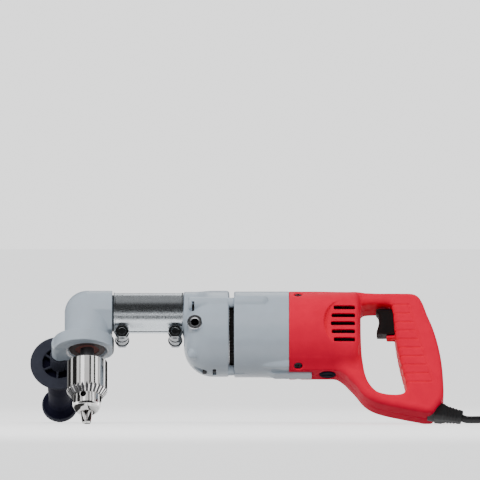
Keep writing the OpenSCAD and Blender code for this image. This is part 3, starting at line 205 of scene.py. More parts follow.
# Colour, roughness and the rest of each look
LOOKS = {
    "cast_grey": ((0.47, 0.54, 0.615), 0.31, dict(vary=0.035, bump=0.10, grain=700)),
    "red_shell": ((0.93, 0.003, 0.048), 0.46, dict(vary=0.05, bump=0.22, grain=1500, spec=0.025)),
    "black_grip": ((0.009, 0.009, 0.021), 0.48, dict(bump=0.12, spec=0.012)),
    "guard_face": ((0.040, 0.043, 0.060), 0.5, dict(vary=0.15, bump=0.15, spec=0.1)),
    "black_plastic": ((0.014, 0.012, 0.012), 0.45, dict(bump=0.15, spec=0.10)),
    "black_rubber": ((0.013, 0.013, 0.014), 0.55, dict(bump=0.2, spec=0.35)),
    "tie_strap": ((0.02, 0.02, 0.022), 0.7, dict(bump=0.4, grain=1600)),
    "sleeve_zinc": (
        (0.54, 0.575, 0.605), 0.29,
        dict(metal=1, vary=0.08, rough_vary=0.10, bump=0.06, blotch=260, stretch=(0.5, 1, 1)),
    ),
    "chuck_steel": (
        (0.70, 0.69, 0.68), 0.08,
        dict(metal=1, vary=0.05, rough_vary=0.03, grain=160, bump=0.03, stretch=(1, 1, 40)),
    ),
    "dark_steel": ((0.10, 0.10, 0.105), 0.35, dict(metal=1, bump=0.1)),
    "bolt_steel": (
        (0.22, 0.23, 0.24), 0.22, dict(metal=1, vary=0.3, grain=1200, bump=0.05, blotch=600)
    ),
    "screw_black": ((0.03, 0.03, 0.032), 0.45, dict(metal=1, grain=1200, bump=0.1)),
    "oiled_seat": ((0.040, 0.018, 0.016), 0.5, dict(vary=0.4, grain=500, bump=0.3, spec=0.15)),
    "gear_steel": ((0.45, 0.45, 0.46), 0.3, dict(metal=1, vary=0.1, bump=0.1)),
    "bronze": ((0.55, 0.38, 0.16), 0.35, dict(metal=1, vary=0.15, bump=0.1)),
    "plate_alloy": ((0.4, 0.4, 0.41), 0.4, dict(metal=1, vary=0.1, bump=0.2)),
    "core_iron": ((0.12, 0.12, 0.13), 0.5, dict(metal=1, bump=0.2)),
    "copper": ((0.50, 0.22, 0.09), 0.35, dict(metal=1, bump=0.3)),
    "carbon": ((0.03, 0.03, 0.03), 0.6, dict(bump=0.2)),
    "felt": ((0.16, 0.035, 0.025), 0.9, dict(vary=0.3, bump=0.5, grain=1400)),
    "machined": ((0.70, 0.71, 0.73), 0.28, dict(metal=1, vary=0.05, grain=300, bump=0.05)),
}
M = {name: material(name, colour, rough, **more) for name, (colour, rough, more) in LOOKS.items()}

SLOT = {part["node"]: part["material_slot"] for part in frame["record"]["subparts"]}
for name, slot in SLOT.items():
    solid = bpy.data.objects[name]
    solid.data.materials.clear()
    solid.data.materials.append(M[slot])
bpy.data.objects["bearing_retainer"].data.materials[0] = M["oiled_seat"]
# Painted shade: the gear case screws are near black, for the shade deep in their pockets.
bpy.data.objects["gear_case_screws"].data.materials[0] = M["screw_black"]


# Cord: the same route as its solids
def unit(v):
    return v / np.linalg.norm(v)


def run_point(a, b, c, d, t):
    """Point between b and c on a smooth line through all four."""
    return 0.5 * (
        2 * b + (c - a) * t + (2 * a - 5 * b + 4 * c - d) * t**2 + (3 * b - a - 3 * c + d) * t**3
    )


def smooth_run(points, steps):
    """Smooth line through the points, each span cut into equal steps."""
    p = np.asarray(points, dtype=float)
    last = len(p) - 1
    line = [
        run_point(p[max(i - 1, 0)], p[i], p[i + 1], p[min(i + 2, last)], k / steps)
        for i in range(last) for k in range(steps)
    ]
    return line + [p[-1]]


def closed_run(points, steps):
    """Smooth closed loop through the points."""
    p = np.asarray(points, dtype=float)
    n = len(p)
    return np.array([
        run_point(p[i - 1], p[i], p[(i + 1) % n], p[(i + 2) % n], k / steps)
        for i in range(n) for k in range(steps)
    ])


boot_base = handle_point(0.955, 0.95)
boot_lean = asin((boot_base[1] + (STAND_H - CORD_R * 1.6) / COS) / BOOT_LEN)
boot_dir = np.array(
    [cos(boot_lean), -sin(boot_lean) * SIN, -sin(boot_lean) * COS]
)
boot_tip = to_row([boot_base[0], 0, boot_base[1]]) / MM + BOOT_LEN * boot_dir
turn_step = CORD_R * 2 * COIL_PITCH
coil_low = CORD_R + TIE_T
coil_out = COIL_R + turn_step * COIL_TURNS / 2
coil_mid = np.array([boot_tip[0] + COIL_R * 2.2, boot_tip[1] + coil_out])
COIL_HALF, REV_TURNS = COIL_TURNS + 0.25, 0.5


def coil_point(u):
    a = radians(-90 + u * 360)
    r = coil_out - turn_step * (min(u, COIL_HALF) - max(u - COIL_HALF, 0))
    rise = min(max(u - COIL_TURNS, 0), REV_TURNS) / REV_TURNS
    z = coil_low + turn_step * (1 - cos(rise * pi)) / 2
    return np.array([coil_mid[0] + r * cos(a), coil_mid[1] + r * sin(a), z])


COIL_STEPS = 168
coil_core = [coil_point(2 * COIL_HALF * i / COIL_STEPS) for i in range(COIL_STEPS + 1)]
in_dir, out_dir = unit(coil_core[0] - coil_core[1]), unit(coil_core[-1] - coil_core[-2])
coil_head = coil_core[0] + in_dir * CORD_R * 2
coil_foot = coil_core[-1] + out_dir * CORD_R * 2
TAIL_R = CORD_R * 9
tail_from = coil_foot + out_dir * CORD_R * 2
tail_mid = tail_from[:2] - np.array([0, TAIL_R])
plug_at = np.array([tail_mid[0] - PLUG_LEN * 1.6, tail_mid[1] - TAIL_R, PLUG_R])


def tail_point(degrees):
    a = radians(degrees)
    fall = sin(a) ** 2
    top = coil_foot[2] if degrees > 0 else PLUG_R
    place = tail_mid + TAIL_R * np.array([cos(a), sin(a)])
    return [*place, coil_low + (top - coil_low) * fall]


lead_route = [
    boot_tip - boot_dir * BOOT_LEN * 0.5,
    boot_tip,
    boot_tip + boot_dir * CORD_R * 2,
    [boot_tip[0] + COIL_R * 0.7, boot_tip[1], coil_low],
    [boot_tip[0] + COIL_R * 1.2, coil_head[1], coil_low],
    coil_head + in_dir * CORD_R * 4,
    coil_head,
]
tail_route = [coil_foot, tail_from]
tail_route += [tail_point(a) for a in range(72, -73, -18)]
tail_route += [
    [tail_mid[0], plug_at[1], PLUG_R],
    [plug_at[0] + PLUG_LEN * 1.2, plug_at[1], PLUG_R],
    [plug_at[0] + PLUG_LEN * 0.8, plug_at[1], PLUG_R],
]
cord_line = np.array(
    smooth_run(lead_route, 6) + smooth_run(coil_core, 2) + smooth_run(tail_route, 6)
) * MM
curve = bpy.data.curves.new("mains_cord", "CURVE")
curve.dimensions = "3D"
spline = curve.splines.new("POLY")
spline.points.add(len(cord_line) - 1)
spline.points.foreach_set("co", np.column_stack([cord_line, np.ones(len(cord_line))]).ravel())
curve.bevel_depth = CORD_R * MM
curve.bevel_resolution = 5
curve.use_fill_caps = True
curve.materials.append(M["black_rubber"])
cord = bpy.data.objects.new("mains_cord", curve)
scene.collection.objects.link(cord)
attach(cord, "motor_unit")
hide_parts("cord_lead", "cord_coil", "cord_tail")


# Stage and light
def stage_sheet(name, corners, mat):
    mesh = bpy.data.meshes.new(name)
    mesh.from_pydata(corners, [], [(0, 1, 2, 3)])
    mesh.materials.append(mat)
    obj = bpy.data.objects.new(name, mesh)
    scene.collection.objects.link(obj)
    obj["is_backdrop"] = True
    return obj


FLOOR_FAR, FLOOR_GLOW = 600, 1.15
floor_mat = material("floor", (0.86, 0.86, 0.865), 0.7, vary=0.006, bump=0.02, grain=300)
floor_shader = floor_mat.node_tree.nodes["Principled BSDF"]
floor_shader.inputs["Emission Color"].default_value = (1, 1, 1, 1)
floor_shader.inputs["Emission Strength"].default_value = FLOOR_GLOW
floor = stage_sheet(
    "floor",
    [(FLOOR_FAR * x, FLOOR_FAR * y, 0) for x, y in ((-1, -1), (1, -1), (1, 1), (-1, 1))],
    floor_mat,
)
floor.visible_diffuse = False

# Painted shadow seen in reflections alone: the floor is dark round a place left of the chuck's
# tip
SHADOW_LEFT, SHADOW_IN, SHADOW_OUT, SHADOW_GLOW = 50, 0.07, 0.12, 0.05
chuck_foot = to_row([0, 0, -TIP_DEEP])
tree = floor_mat.node_tree
spot = node(tree, "TexCoord")
away = node(tree, "VectorMath", operation="DISTANCE")
away.inputs[1].default_value = chuck_foot + np.array([-SHADOW_LEFT, 0, 0]) * MM
near = remap(tree, SHADOW_IN, SHADOW_OUT, 1, 0)
ray = node(tree, "LightPath")
share = node(tree, "Math", operation="MULTIPLY")
dark = node(tree, "Emission", Strength=SHADOW_GLOW)
mix = node(tree, "MixShader")
join(
    tree,
    (spot, "Object", away, 0),
    (away, "Value", near, "Value"),
    (near, "Result", share, 0),
    (ray, "Is Glossy Ray", share, 1),
    (share, "Value", mix, 0),
    (floor_shader, 0, mix, 1),
    (dark, 0, mix, 2),
    (mix, 0, tree.nodes["Material Output"], "Surface"),
)

# Black card on the floor in front, seen only in reflections
card_mat = material("card", (0.012, 0.012, 0.013), 0.9, vary=0.1)
CARD_W, CARD_NEAR, CARD_FAR, CARD_Z = 1.3, -0.75, -0.24, 0.004
card = stage_sheet(
    "card_flat",
    [
        (-CARD_W, CARD_NEAR, CARD_Z), (CARD_W, CARD_NEAR, CARD_Z),
        (CARD_W, CARD_FAR, CARD_Z), (-CARD_W, CARD_FAR, CARD_Z),
    ],
    card_mat,
)
card.visible_camera = card.visible_diffuse = card.visible_shadow = False
card.visible_transmission = False

# The world fills the shade, is white to the camera, and dark in reflections but for overhead
SKY_GLOW, PAPER_GLOW, MIRROR_GLOW = (-0.35, 0.45, 0.36, 0.62), 2.2, (0.82, 0.92, 0.03, 0.5)
world = bpy.data.worlds.new("studio")
scene.world = world
world.use_nodes = True
air = world.node_tree
sky = air.nodes["Background"]
sky.inputs["Color"].default_value = (0.96, 0.97, 0.98, 1)
heading = node(air, "TexCoord")
level = node(air, "SeparateXYZ")
dusk, overhead = remap(air, *SKY_GLOW), remap(air, *MIRROR_GLOW)
paper = node(air, "Background", Strength=PAPER_GLOW)
mirrored = node(air, "Background")
seen = node(air, "LightPath")
lit, either = (node(air, "MixShader") for _ in range(2))
join(
    air,
    (heading, "Generated", level, 0),
    (level, "Z", dusk, "Value"),
    (dusk, "Result", sky, "Strength"),
    (level, "Z", overhead, "Value"),
    (overhead, "Result", mirrored, "Strength"),
    (seen, "Is Glossy Ray", lit, 0),
    (sky, 0, lit, 1),
    (mirrored, 0, lit, 2),
    (seen, "Is Camera Ray", either, 0),
    (lit, 0, either, 1),
    (paper, 0, either, 2),
    (either, 0, air.nodes["World Output"], "Surface"),
)


def lamp(name, place, aim, wide, high, power):
    data = bpy.data.lights.new(name, "AREA")
    data.energy = power
    data.shape = "RECTANGLE"
    data.size, data.size_y = wide, high
    obj = bpy.data.objects.new(name, data)
    obj.location = place
    obj.rotation_euler = (Vector(aim) - Vector(place)).to_track_quat("-Z", "Y").to_euler()
    scene.collection.objects.link(obj)
    return obj


lamp("key", (-0.3, -1.25, 1.05), (0, 0, 0.1), 1.5, 0.6, 14.0).visible_glossy = False
lamp("left", (-1.2, -0.35, 0.55), (-0.1, 0, 0.1), 0.5, 1.0, 3.8).visible_glossy = False
lamp("right", (1.2, -0.45, 0.55), (0, 0, 0.1), 0.5, 1.0, 2.6).visible_glossy = False
lamp("rim", (0.2, 1.2, 1.2), (0, 0, 0.1), 0.9, 0.9, 5)

# Strip lights that only reflections show stripe the polished chuck. Each has the share of the
# chuck's radius where it starts and ends to show, and its brightness.
STRIP_R, STRIP_LOW, STRIP_HIGH = 45.0, -124.0, -42.0
STRIPS = [
    (-0.97, -0.91, 0.20), (-0.79, -0.70, 0.9), (-0.50, -0.37, 1.1), (-0.37, -0.31, 0.25),
    (-0.31, -0.13, 2.3), (-0.13, 0.12, 0.90), (0.20, 0.34, 1.4), (0.41, 0.53, 2.0),
    (0.53, 0.65, 0.7), (0.82, 0.89, 1.6),
]
# Strips on the floor under the chuck: from, to and brightness
FLOOR_STRIPS, FLOOR_NEAR, FLOOR_BACK = [(-22, 4, 1.3), (10, 34, 0.7)], -80, 40


def strip_turn(share):
    """Turn round the chuck of what shows at a share of its radius."""
    a = asin(share)
    x, y = CHUCK_R * sin(a), CHUCK_R * cos(a)
    u, v = sin(2 * a), cos(2 * a)
    b = x * u + y * v
    t = -b + sqrt(b * b - CHUCK_R**2 + STRIP_R**2)
    return atan2(x + t * u, y + t * v)


def strip_light(name, place, aim, along, wide, high, glow):
    """Lamp with its height along a line, that only reflections show."""
    light = lamp(name, place, aim, wide, high, glow * pi * wide * high)
    back = (Vector(place) - Vector(aim)).normalized()
    side = Vector(along).cross(back).normalized()
    light.rotation_euler = Matrix((side, back.cross(side), back)).transposed().to_euler()
    light.visible_camera = light.visible_diffuse = light.visible_transmission = False
    light.data.use_shadow = False


chuck_up = to_row([0, 0, 0]) - chuck_foot
for i, (start, end, glow) in enumerate(STRIPS):
    a, b = strip_turn(start), strip_turn(end)
    middle, level = (a + b) / 2, (STRIP_LOW + STRIP_HIGH) / 2
    place = to_row([STRIP_R * sin(middle), -STRIP_R * cos(middle), level])
    wide = 2 * STRIP_R * sin((b - a) / 2) * MM
    high = (STRIP_HIGH - STRIP_LOW) * MM
    strip_light("strip_%d" % i, place, to_row([0, 0, level]), chuck_up, wide, high, glow)
for i, (x0, x1, glow) in enumerate(FLOOR_STRIPS):
    place = chuck_foot + np.array([(x0 + x1) / 2, (FLOOR_NEAR + FLOOR_BACK) / 2, 0]) * MM
    place[2] = MM
    aim = place + np.array([0, 0, 1])
    wide, high = (x1 - x0) * MM, (FLOOR_BACK - FLOOR_NEAR) * MM
    strip_light("floor_strip_%d" % i, place, aim, (0, 1, 0), wide, high, glow)


# Solid modelling on a grid: distances in millimetres, negative inside
def smin(a, b, k):
    h = clip(0.5 + 0.5 * (b - a) / k, 0, 1)
    return b + (a - b) * h - k * h * (1 - h)


def smax(a, b, k):
    return -smin(-a, -b, k)


def cut(solid, hole):
    return maximum(solid, -hole)


def rounded(q, d, rd):
    outside = hypot(maximum(q, 0), maximum(d, 0))
    return minimum(maximum(q, d), 0) + outside - rd


def rod(u, v, w, w0, w1, r, rd=0.0):
    """Cylinder along w, round a line through u and v zero."""
    return rounded(hypot(u, v) - (r - rd), np.abs(w - (w0 + w1) / 2) - ((w1 - w0) / 2 - rd), rd)


def rod_x(g, x0, x1, r, z=0.0, y=0.0, rd=0.0):
    return rod(g[1] - y, g[2] - z, g[0], x0, x1, r, rd)


def rod_y(g, y0, y1, r, x, z, rd=0.0):
    return rod(g[0] - x, g[2] - z, g[1], y0, y1, r, rd)


def rod_z(g, z0, z1, r, x=0.0, y=0.0, rd=0.0):
    return rod(g[0] - x, g[1] - y, g[2], z0, z1, r, rd)


def ball(g, r, x=0.0, y=0.0, z=0.0):
    return np.sqrt((g[0] - x) ** 2 + (g[1] - y) ** 2 + (g[2] - z) ** 2) - r


def slab(g, x0, x1, y0, y1, z0, z1, rd=0.0):
    qs = [
        np.abs(c - (a + b) / 2) - ((b - a) / 2 - rd)
        for c, a, b in zip(g, (x0, y0, z0), (x1, y1, z1))
    ]
    outside = np.sqrt(sum(maximum(q, 0) ** 2 for q in qs))
    return minimum(maximum(maximum(qs[0], qs[1]), qs[2]), 0) + outside - rd


def outline(u, v, points):
    """Signed distance to a closed outline in a plane."""
    p = np.asarray(points, dtype=np.float32)
    best = None
    inside = None
    for a, b in zip(p, np.roll(p, -1, axis=0)):
        du, dv = u - a[0], v - a[1]
        eu, ev = b[0] - a[0], b[1] - a[1]
        t = clip((du * eu + dv * ev) / (eu * eu + ev * ev + 1e-9), 0, 1)
        d = (du - eu * t) ** 2 + (dv - ev * t) ** 2
        best = d if best is None else minimum(best, d)
        between = (a[1] <= v) != (b[1] <= v)
        at = a[0] + (v - a[1]) * eu / (ev if abs(ev) > 1e-9 else 1e-9)
        hit = between & (u < at)
        inside = hit if inside is None else inside ^ hit
    return np.sqrt(best) * np.where(inside, -1, 1)


def sample(v, at):
    """Value between grid points, at places in grid steps."""
    at = clip(at, 0, np.array(v.shape) - 1.001)
    base = at.astype(np.int32)
    part = at - base
    total = 0.0
    for o in product((0, 1), repeat=3):
        weight = np.ones(len(at))
        for axis in range(3):
            weight = weight * (part[:, axis] if o[axis] else 1 - part[:, axis])
        total = total + weight * v[base[:, 0] + o[0], base[:, 1] + o[1], base[:, 2] + o[2]]
    return total


def nets(v):
    """Surface where the grid's values cross zero: points in grid steps, and quads."""
    inside = v < 0
    n = np.array(v.shape) - 1
    count = np.zeros(n, dtype=np.int8)
    for i, j, k in product((0, 1), repeat=3):
        count += inside[i : i + n[0], j : j + n[1], k : k + n[2]]
    active = (count > 0) & (count < 8)
    cells = np.argwhere(active)
    index = np.full(n, -1, dtype=np.int64)
    index[active] = np.arange(len(cells))
    total = np.zeros((len(cells), 3))
    hits = np.zeros(len(cells))
    for axis in range(3):
        for pair in product((0, 1), repeat=2):
            start, end = np.insert(pair, axis, 0), np.insert(pair, axis, 1)
            a = v[tuple((cells + start).T)]
            b = v[tuple((cells + end).T)]
            cross = (a < 0) != (b < 0)
            t = np.where(cross, a / np.where(cross, a - b, 1), 0)
            place = start + t[:, None] * (end - start)
            total[cross] += place[cross]
            hits[cross] += 1
    points = cells + total / hits[:, None]
    for _ in range(2):
        slope = np.empty_like(points)
        for axis in range(3):
            step = np.zeros(3)
            step[axis] = 0.5
            slope[:, axis] = sample(v, points + step) - sample(v, points - step)
        size = maximum((slope**2).sum(axis=1), 0.05 * np.median((slope**2).sum(axis=1)))
        move = -(sample(v, points) / size)[:, None] * slope
        points = points + clip(move, -0.4, 0.4)
    quads = []
    for axis in range(3):
        u, w = (axis + 1) % 3, (axis + 2) % 3
        edges = np.argwhere(np.diff(inside, axis=axis))
        ok = (edges[:, u] > 0) & (edges[:, u] < n[u]) & (edges[:, w] > 0) & (edges[:, w] < n[w])
        edges = edges[ok]
        corners = []
        for du, dw in ((-1, -1), (0, -1), (0, 0), (-1, 0)):
            cell = edges.copy()
            cell[:, u] += du
            cell[:, w] += dw
            corners.append(index[tuple(cell.T)])
        quad = np.stack(corners, axis=1)
        flip = ~inside[tuple(edges.T)]
        quad[flip] = quad[flip][:, ::-1]
        quads.append(quad)
    return points, np.concatenate(quads)


def mesh_object(name, row, faces, mats):
    """Object from points in the row frame and faces of one size."""
    mesh = bpy.data.meshes.new(name)
    row = row.astype(np.float32)
    count, sides = faces.shape
    mesh.vertices.add(len(row))
    mesh.vertices.foreach_set("co", row.ravel())
    mesh.loops.add(count * sides)
    mesh.loops.foreach_set("vertex_index", faces.astype(np.int32).ravel())
    mesh.polygons.add(count)
    mesh.polygons.foreach_set("loop_start", np.arange(0, count * sides, sides, dtype=np.int32))
    mesh.polygons.foreach_set("use_smooth", np.ones(count, dtype=bool))
    mesh.update(calc_edges=True)
    mesh.validate()
    for mat in mats:
        mesh.materials.append(mat)
    obj = bpy.data.objects.new(name, mesh)
    scene.collection.objects.link(obj)
    return obj


def grid(low, high, step):
    axes = [np.arange(a, b + step, step, dtype=np.float32) for a, b in zip(low, high)]
    return np.meshgrid(*axes, indexing="ij", sparse=True)


def form(
    name, field, boxes, step, body, part, patches=(), look=None, place=to_row, slot=None
):
    """Piece whose surface is where the field is zero, inside each of the boxes.

    It stands for a part, and has its slot. Patches name faces of another material.
    """
    slot = slot or SLOT[part]
    all_points, all_quads, count = [], [], 0
    for low, high in boxes:
        points, quads = nets(np.asarray(field(grid(low, high, step)), dtype=np.float32))
        all_points.append(points * step + np.array(low))
        all_quads.append(quads + count)
        count += len(points)
    points, quads = np.concatenate(all_points), np.concatenate(all_quads)
    obj = mesh_object(name, place(points), quads, [M[look or slot]] + [M[m] for m, _ in patches])
    kind = np.zeros(len(quads), dtype=np.int32)
    for i, (_, test) in enumerate(patches):
        kind[test(*points[quads].mean(axis=1).T)] = i + 1
    obj.data.polygons.foreach_set("material_index", kind)
    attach(obj, body)
    if part:
        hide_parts(part)
    return obj


def around(centre, half):
    """Box round a place."""
    half = np.broadcast_to(half, 3)
    return tuple(np.subtract(centre, half)), tuple(np.add(centre, half))


def at_turn(a, ring):
    """Place on a ring round the motor axis, turned from the top to the near side."""
    a = radians(a)
    return -ring * sin(a), MOTOR_Z + ring * cos(a)


def from_motor(g, a):
    """Places across and along a line out from the motor axis."""
    yd, zd = -sin(radians(a)), cos(radians(a))
    return g[1] * zd - (g[2] - MOTOR_Z) * yd, g[1] * yd + (g[2] - MOTOR_Z) * zd


def spoke(u, v, degrees):
    """Places out along a spoke in a plane, and to the side of it."""
    c, s = cos(radians(degrees)), sin(radians(degrees))
    return u * c + v * s, v * c - u * s


def along_boot(g):
    """Places along the cord boot and across it."""
    c, s = cos(boot_lean), sin(boot_lean)
    x, z = g[0] - boot_base[0], g[2] - boot_base[1]
    return x * c - z * s, x * s + z * c


def each(one, places):
    """Field of the same shape at each of the places."""
    return lambda g: reduce(minimum, [one(g, place) for place in places])


# Angle head
COLLAR_R, COLLAR_X, COLLAR_BACK = 34.6, -4.3, 20
FLAT_TURN, FLAT_OUT = radians(41), 23.2
LOBE = [(4, -4), (-BOSS_X, -7), (-BOSS_X - 4, 4), (-BOSS_X - 4, 20), (-BOSS_X, 29), (4, 30)]
LOBE_ROUND, BOSS_R, RIM_R, HEAD_WALL, ROOM_LOW = 4, 8, 24.2, 3.6, -20.8


def head_field(g):
    flat = np.abs(g[1]) * cos(FLAT_TURN) - g[2] * sin(FLAT_TURN) - FLAT_OUT
    tube = smax(rod_x(g, -2, HEAD_REACH, HEAD_R, rd=0.8), flat, 0.3)
    elbow = smin(tube, rod_z(g, -HEAD_DROP, 2, HEAD_R), 0.4)
    solid = smin(ball(g, HEAD_R), elbow, 0.4)
    flange = rod_z(g, -HEAD_DROP, -HEAD_DROP + FLANGE_H, FLANGE_R, rd=1.2)
    collar = rod_z(g, -HEAD_DROP, -HEAD_DROP + FLANGE_H, COLLAR_R, COLLAR_X, rd=1.2)
    flange = smin(flange, smax(collar, g[1] - COLLAR_BACK, 5), 2)
    arm = rounded(
        outline(g[0], g[1], LOBE) + LOBE_ROUND,
        np.abs(g[2] + HEAD_DROP - FLANGE_H / 2) - FLANGE_H / 2 + LOBE_ROUND,
        LOBE_ROUND,
    )
    boss = rod_y(g, -7, BOSS_REACH, BOSS_R, -BOSS_X, -BOSS_DROP, rd=2.5)
    solid = smin(solid, smin(flange, smin(arm, boss, 3), 3), 0.8)
    solid = smin(solid, rod_x(g, 0, HEAD_REACH + NECK_LEN, NECK_R), 0.5)
    bore = HEAD_BORE + clip(-(g[2] + HEAD_DROP) + MOUTH, 0, MOUTH)
    hole = maximum(hypot(g[0], g[1]) - bore, g[2])
    room = minimum(hole, rod_z(g, ROOM_LOW, 0, HEAD_R - 4))
    room = minimum(ball(g, HEAD_R - HEAD_WALL), room)
    room = minimum(room, rod_x(g, 0, HEAD_REACH + NECK_LEN + 4, INPUT_BORE))
    solid = cut(solid, room)
    return cut(solid, rod_y(g, 9, BOSS_REACH + 3, STUD_BORE, -BOSS_X, -BOSS_DROP))


form(
    "head_casting", head_field, [((-46, -38, -51), (58, 38, 30))], 0.7, "head",
    "angle_head_casing",
    [
        ("plate_alloy", lambda x, y, z: (z < -HEAD_DROP + 0.4) & (hypot(x, y) < RIM_R)),
        # Painted shade: the neck left in the gap before the sleeve is near black, for the shadow
        # in the gap.
        ("screw_black", lambda x, y, z: x > HEAD_REACH + 0.2),
    ],
)


# Gear case
CASE_RIDGE_RING, CASE_RIDGE_R, SCREW_BOSS_R, POCKET_END = 44, 7.4, 6, 119
WART_R, WART_Y, WART_Z, NECK_IN, NECK_IN_END = 6.0, -20, -60, 15.12, 103.4
NOTCH, LOW_NOTCH, NOTCH_Y = (120.4, 121.8, 123.2), (144.2, 146.2, 148.2), 38.5


def dome_field(g, r, round_r, x0, x1):
    whole = rod_x(g, x0, x1 + 2 * round_r, r, MOTOR_Z, rd=round_r)
    return maximum(whole, g[0] - x1)


def case_field(g):
    solid = dome_field(g, CASE_R, DOME_R, CASE_X, CASE_END)
    solid = smin(solid, rod_x(g, CASE_X, CASE_END, BARREL_R, rd=1.5), 7)
    for a in RIDGE_TURNS:
        y, z = at_turn(a, CASE_RIDGE_RING)
        solid = smin(solid, rod_x(g, CASE_X + 5, CASE_END, CASE_RIDGE_R, z, y, rd=2), 1.2)
    for s in (-1, 1):
        y0, y1 = sorted((s * SOCKET_REACH, s * (SOCKET_REACH - 18)))
        solid = smin(solid, rod_y(g, y0, y1, SOCKET_R, SOCKET_X, SOCKET_Z, rd=0.8), 2.5)
    solid = smin(solid, ball(g, WART_R, CASE_X + 10, WART_Y, WART_Z), 1.5)
    solid = smax(solid, g[0] - CASE_END, 4)
    room = minimum(
        dome_field(g, ROOM_R, DOME_R - 5, ROOM_X, CASE_END + 4),
        rod_x(g, ROOM_X, CASE_END + 4, OUT_ROOM),
    )
    solid = cut(solid, room)
    for s in (-1, 1):
        y0, y1 = sorted((s * SOCKET_REACH, s * (SOCKET_REACH - 15)))
        solid = minimum(solid, rod_y(g, y0, y1, SOCKET_R, SOCKET_X, SOCKET_Z, rd=0.8))
        y0, y1 = sorted((s * (SOCKET_REACH + 2), s * (SOCKET_REACH - 10)))
        solid = cut(solid, rod_y(g, y0, y1, SOCKET_BORE, SOCKET_X, SOCKET_Z))
        ring = hypot(g[0] - SOCKET_X, g[2] - SOCKET_Z) - SOCKET_BORE
        solid = cut(solid, (maximum(ring, 0) + (SOCKET_REACH + 1.2 - s * g[1]) - 2.4))
    solid = minimum(solid, rod_x(g, ROOM_X - 1, ROOM_X + 7, IDLER_BUSH_R, IDLER_Z, IDLER_Y))
    solid = minimum(solid, rod_x(g, CASE_X - NECK_LEN, CASE_X + 2, NECK_R - 0.06))
    for a in CASE_SCREW_TURNS:
        y, z = at_turn(a, SCREW_RING)
        solid = minimum(solid, rod_x(g, CASE_END - 2, MOTOR_X, SCREW_BOSS_R, z, y))
        pocket_end = SCREW_SEAT if a == LOW_SCREW else POCKET_END
        solid = cut(solid, rod_x(g, CASE_X - 2, pocket_end, SEAT_R, z, y))
        solid = cut(solid, rod_x(g, CASE_X - 2, MOTOR_X + 2, SCREW_R, z, y))
        if a == LOW_SCREW:
            notch = slab(g, LOW_NOTCH[0], LOW_NOTCH[2], y - 9, y + 6, -90, z + 1, rd=0.5)
        else:
            notch = slab(g, NOTCH[0], NOTCH[2], y - 16, y + 16, z - 9.5, z - 0.8, rd=0.5)
            notch = maximum(notch, NOTCH_Y - np.abs(g[1]))
        solid = cut(solid, notch)
    solid = cut(solid, rod_x(g, ROOM_X, ROOM_X + 9, IDLER_BORE, IDLER_Z, IDLER_Y))
    solid = cut(solid, rod_x(g, CASE_X - NECK_LEN - 2, NECK_IN_END, NECK_IN))
    return cut(solid, rod_x(g, CASE_X - NECK_LEN - 2, ROOM_X + 2, OUT_BORE))


# Painted shade: the socket's bore is near black, for the shade down the hole.
def in_shaded_socket(x, y, z):
    near = hypot(x - SOCKET_X, z - SOCKET_Z) < SOCKET_BORE + 0.5
    return near & (np.abs(y) < SOCKET_REACH - 0.8)


# Painted shade: the notches by the screws are black inside, for the shade in them.
def in_shaded_notch(x, y, z):
    side = (np.abs(x - NOTCH[1]) < 1.3) & (np.abs(z + 9.2) < 4.3) & (np.abs(y) < 45.5)
    low = (np.abs(x - LOW_NOTCH[1]) < 1.9) & (np.abs(y + 1.5) < 7.4) & (z > -75.2) & (z < -66)
    return side | low


form(
    "gear_case_casting", case_field, [((84, -53, -79), (170, 53, 27))], 0.8, "motor_unit",
    "gear_case", [("screw_black", in_shaded_socket), ("black_plastic", in_shaded_notch)],
)

RIM_RING, RIM_WIDE, RIM_DEEP, RIM_ROUND = 6.6, 2.3, 2.0, 0.6


def rim_field(g):
    r, depth = hypot(g[0] - SOCKET_X, g[2] - SOCKET_Z), SOCKET_REACH - np.abs(g[1])
    across, deep = np.abs(r - RIM_RING) - RIM_WIDE, np.abs(depth - 1.4) - RIM_DEEP
    ring = rounded(across + RIM_ROUND, deep + RIM_ROUND, RIM_ROUND)
    return smax(ring, SOCKET_BORE + 0.5 - r + 0.8 * (0.4 - depth), 0.3)


form(
    "socket_rims", rim_field,
    [around((SOCKET_X, s * (SOCKET_REACH - 1.4), SOCKET_Z), (10.5, 3.5, 10.5)) for s in (-1, 1)],
    0.35, "motor_unit", None, look="machined", slot="cast_grey",
)


# Motor housing
RIDGE_RING, RIDGE_R, RIDGE_LEN = 44.8, 9.4, 31.6
FAIRING_RING, FAIRING_R, FAIRING_X, FAIRING_LEN = 46.4, 8.6, 196, 36
FAIRING_LOWS = {-160: -72, 160: -76.6}
MOTOR_BOSS_R, MOTOR_BOSS_END, MOTOR_HOLE_END = 5.28, 181.1, 180.1


def pad_block(g, low, top):
    """Block under the motor that runs back into the handle."""
    plan = smax(np.abs(g[1]) - PAD_LOOK, g[0] - PAD_END, 3)
    return maximum(maximum(plan, PAD_X - 6 - g[0]), maximum(low - g[2], g[2] - top))


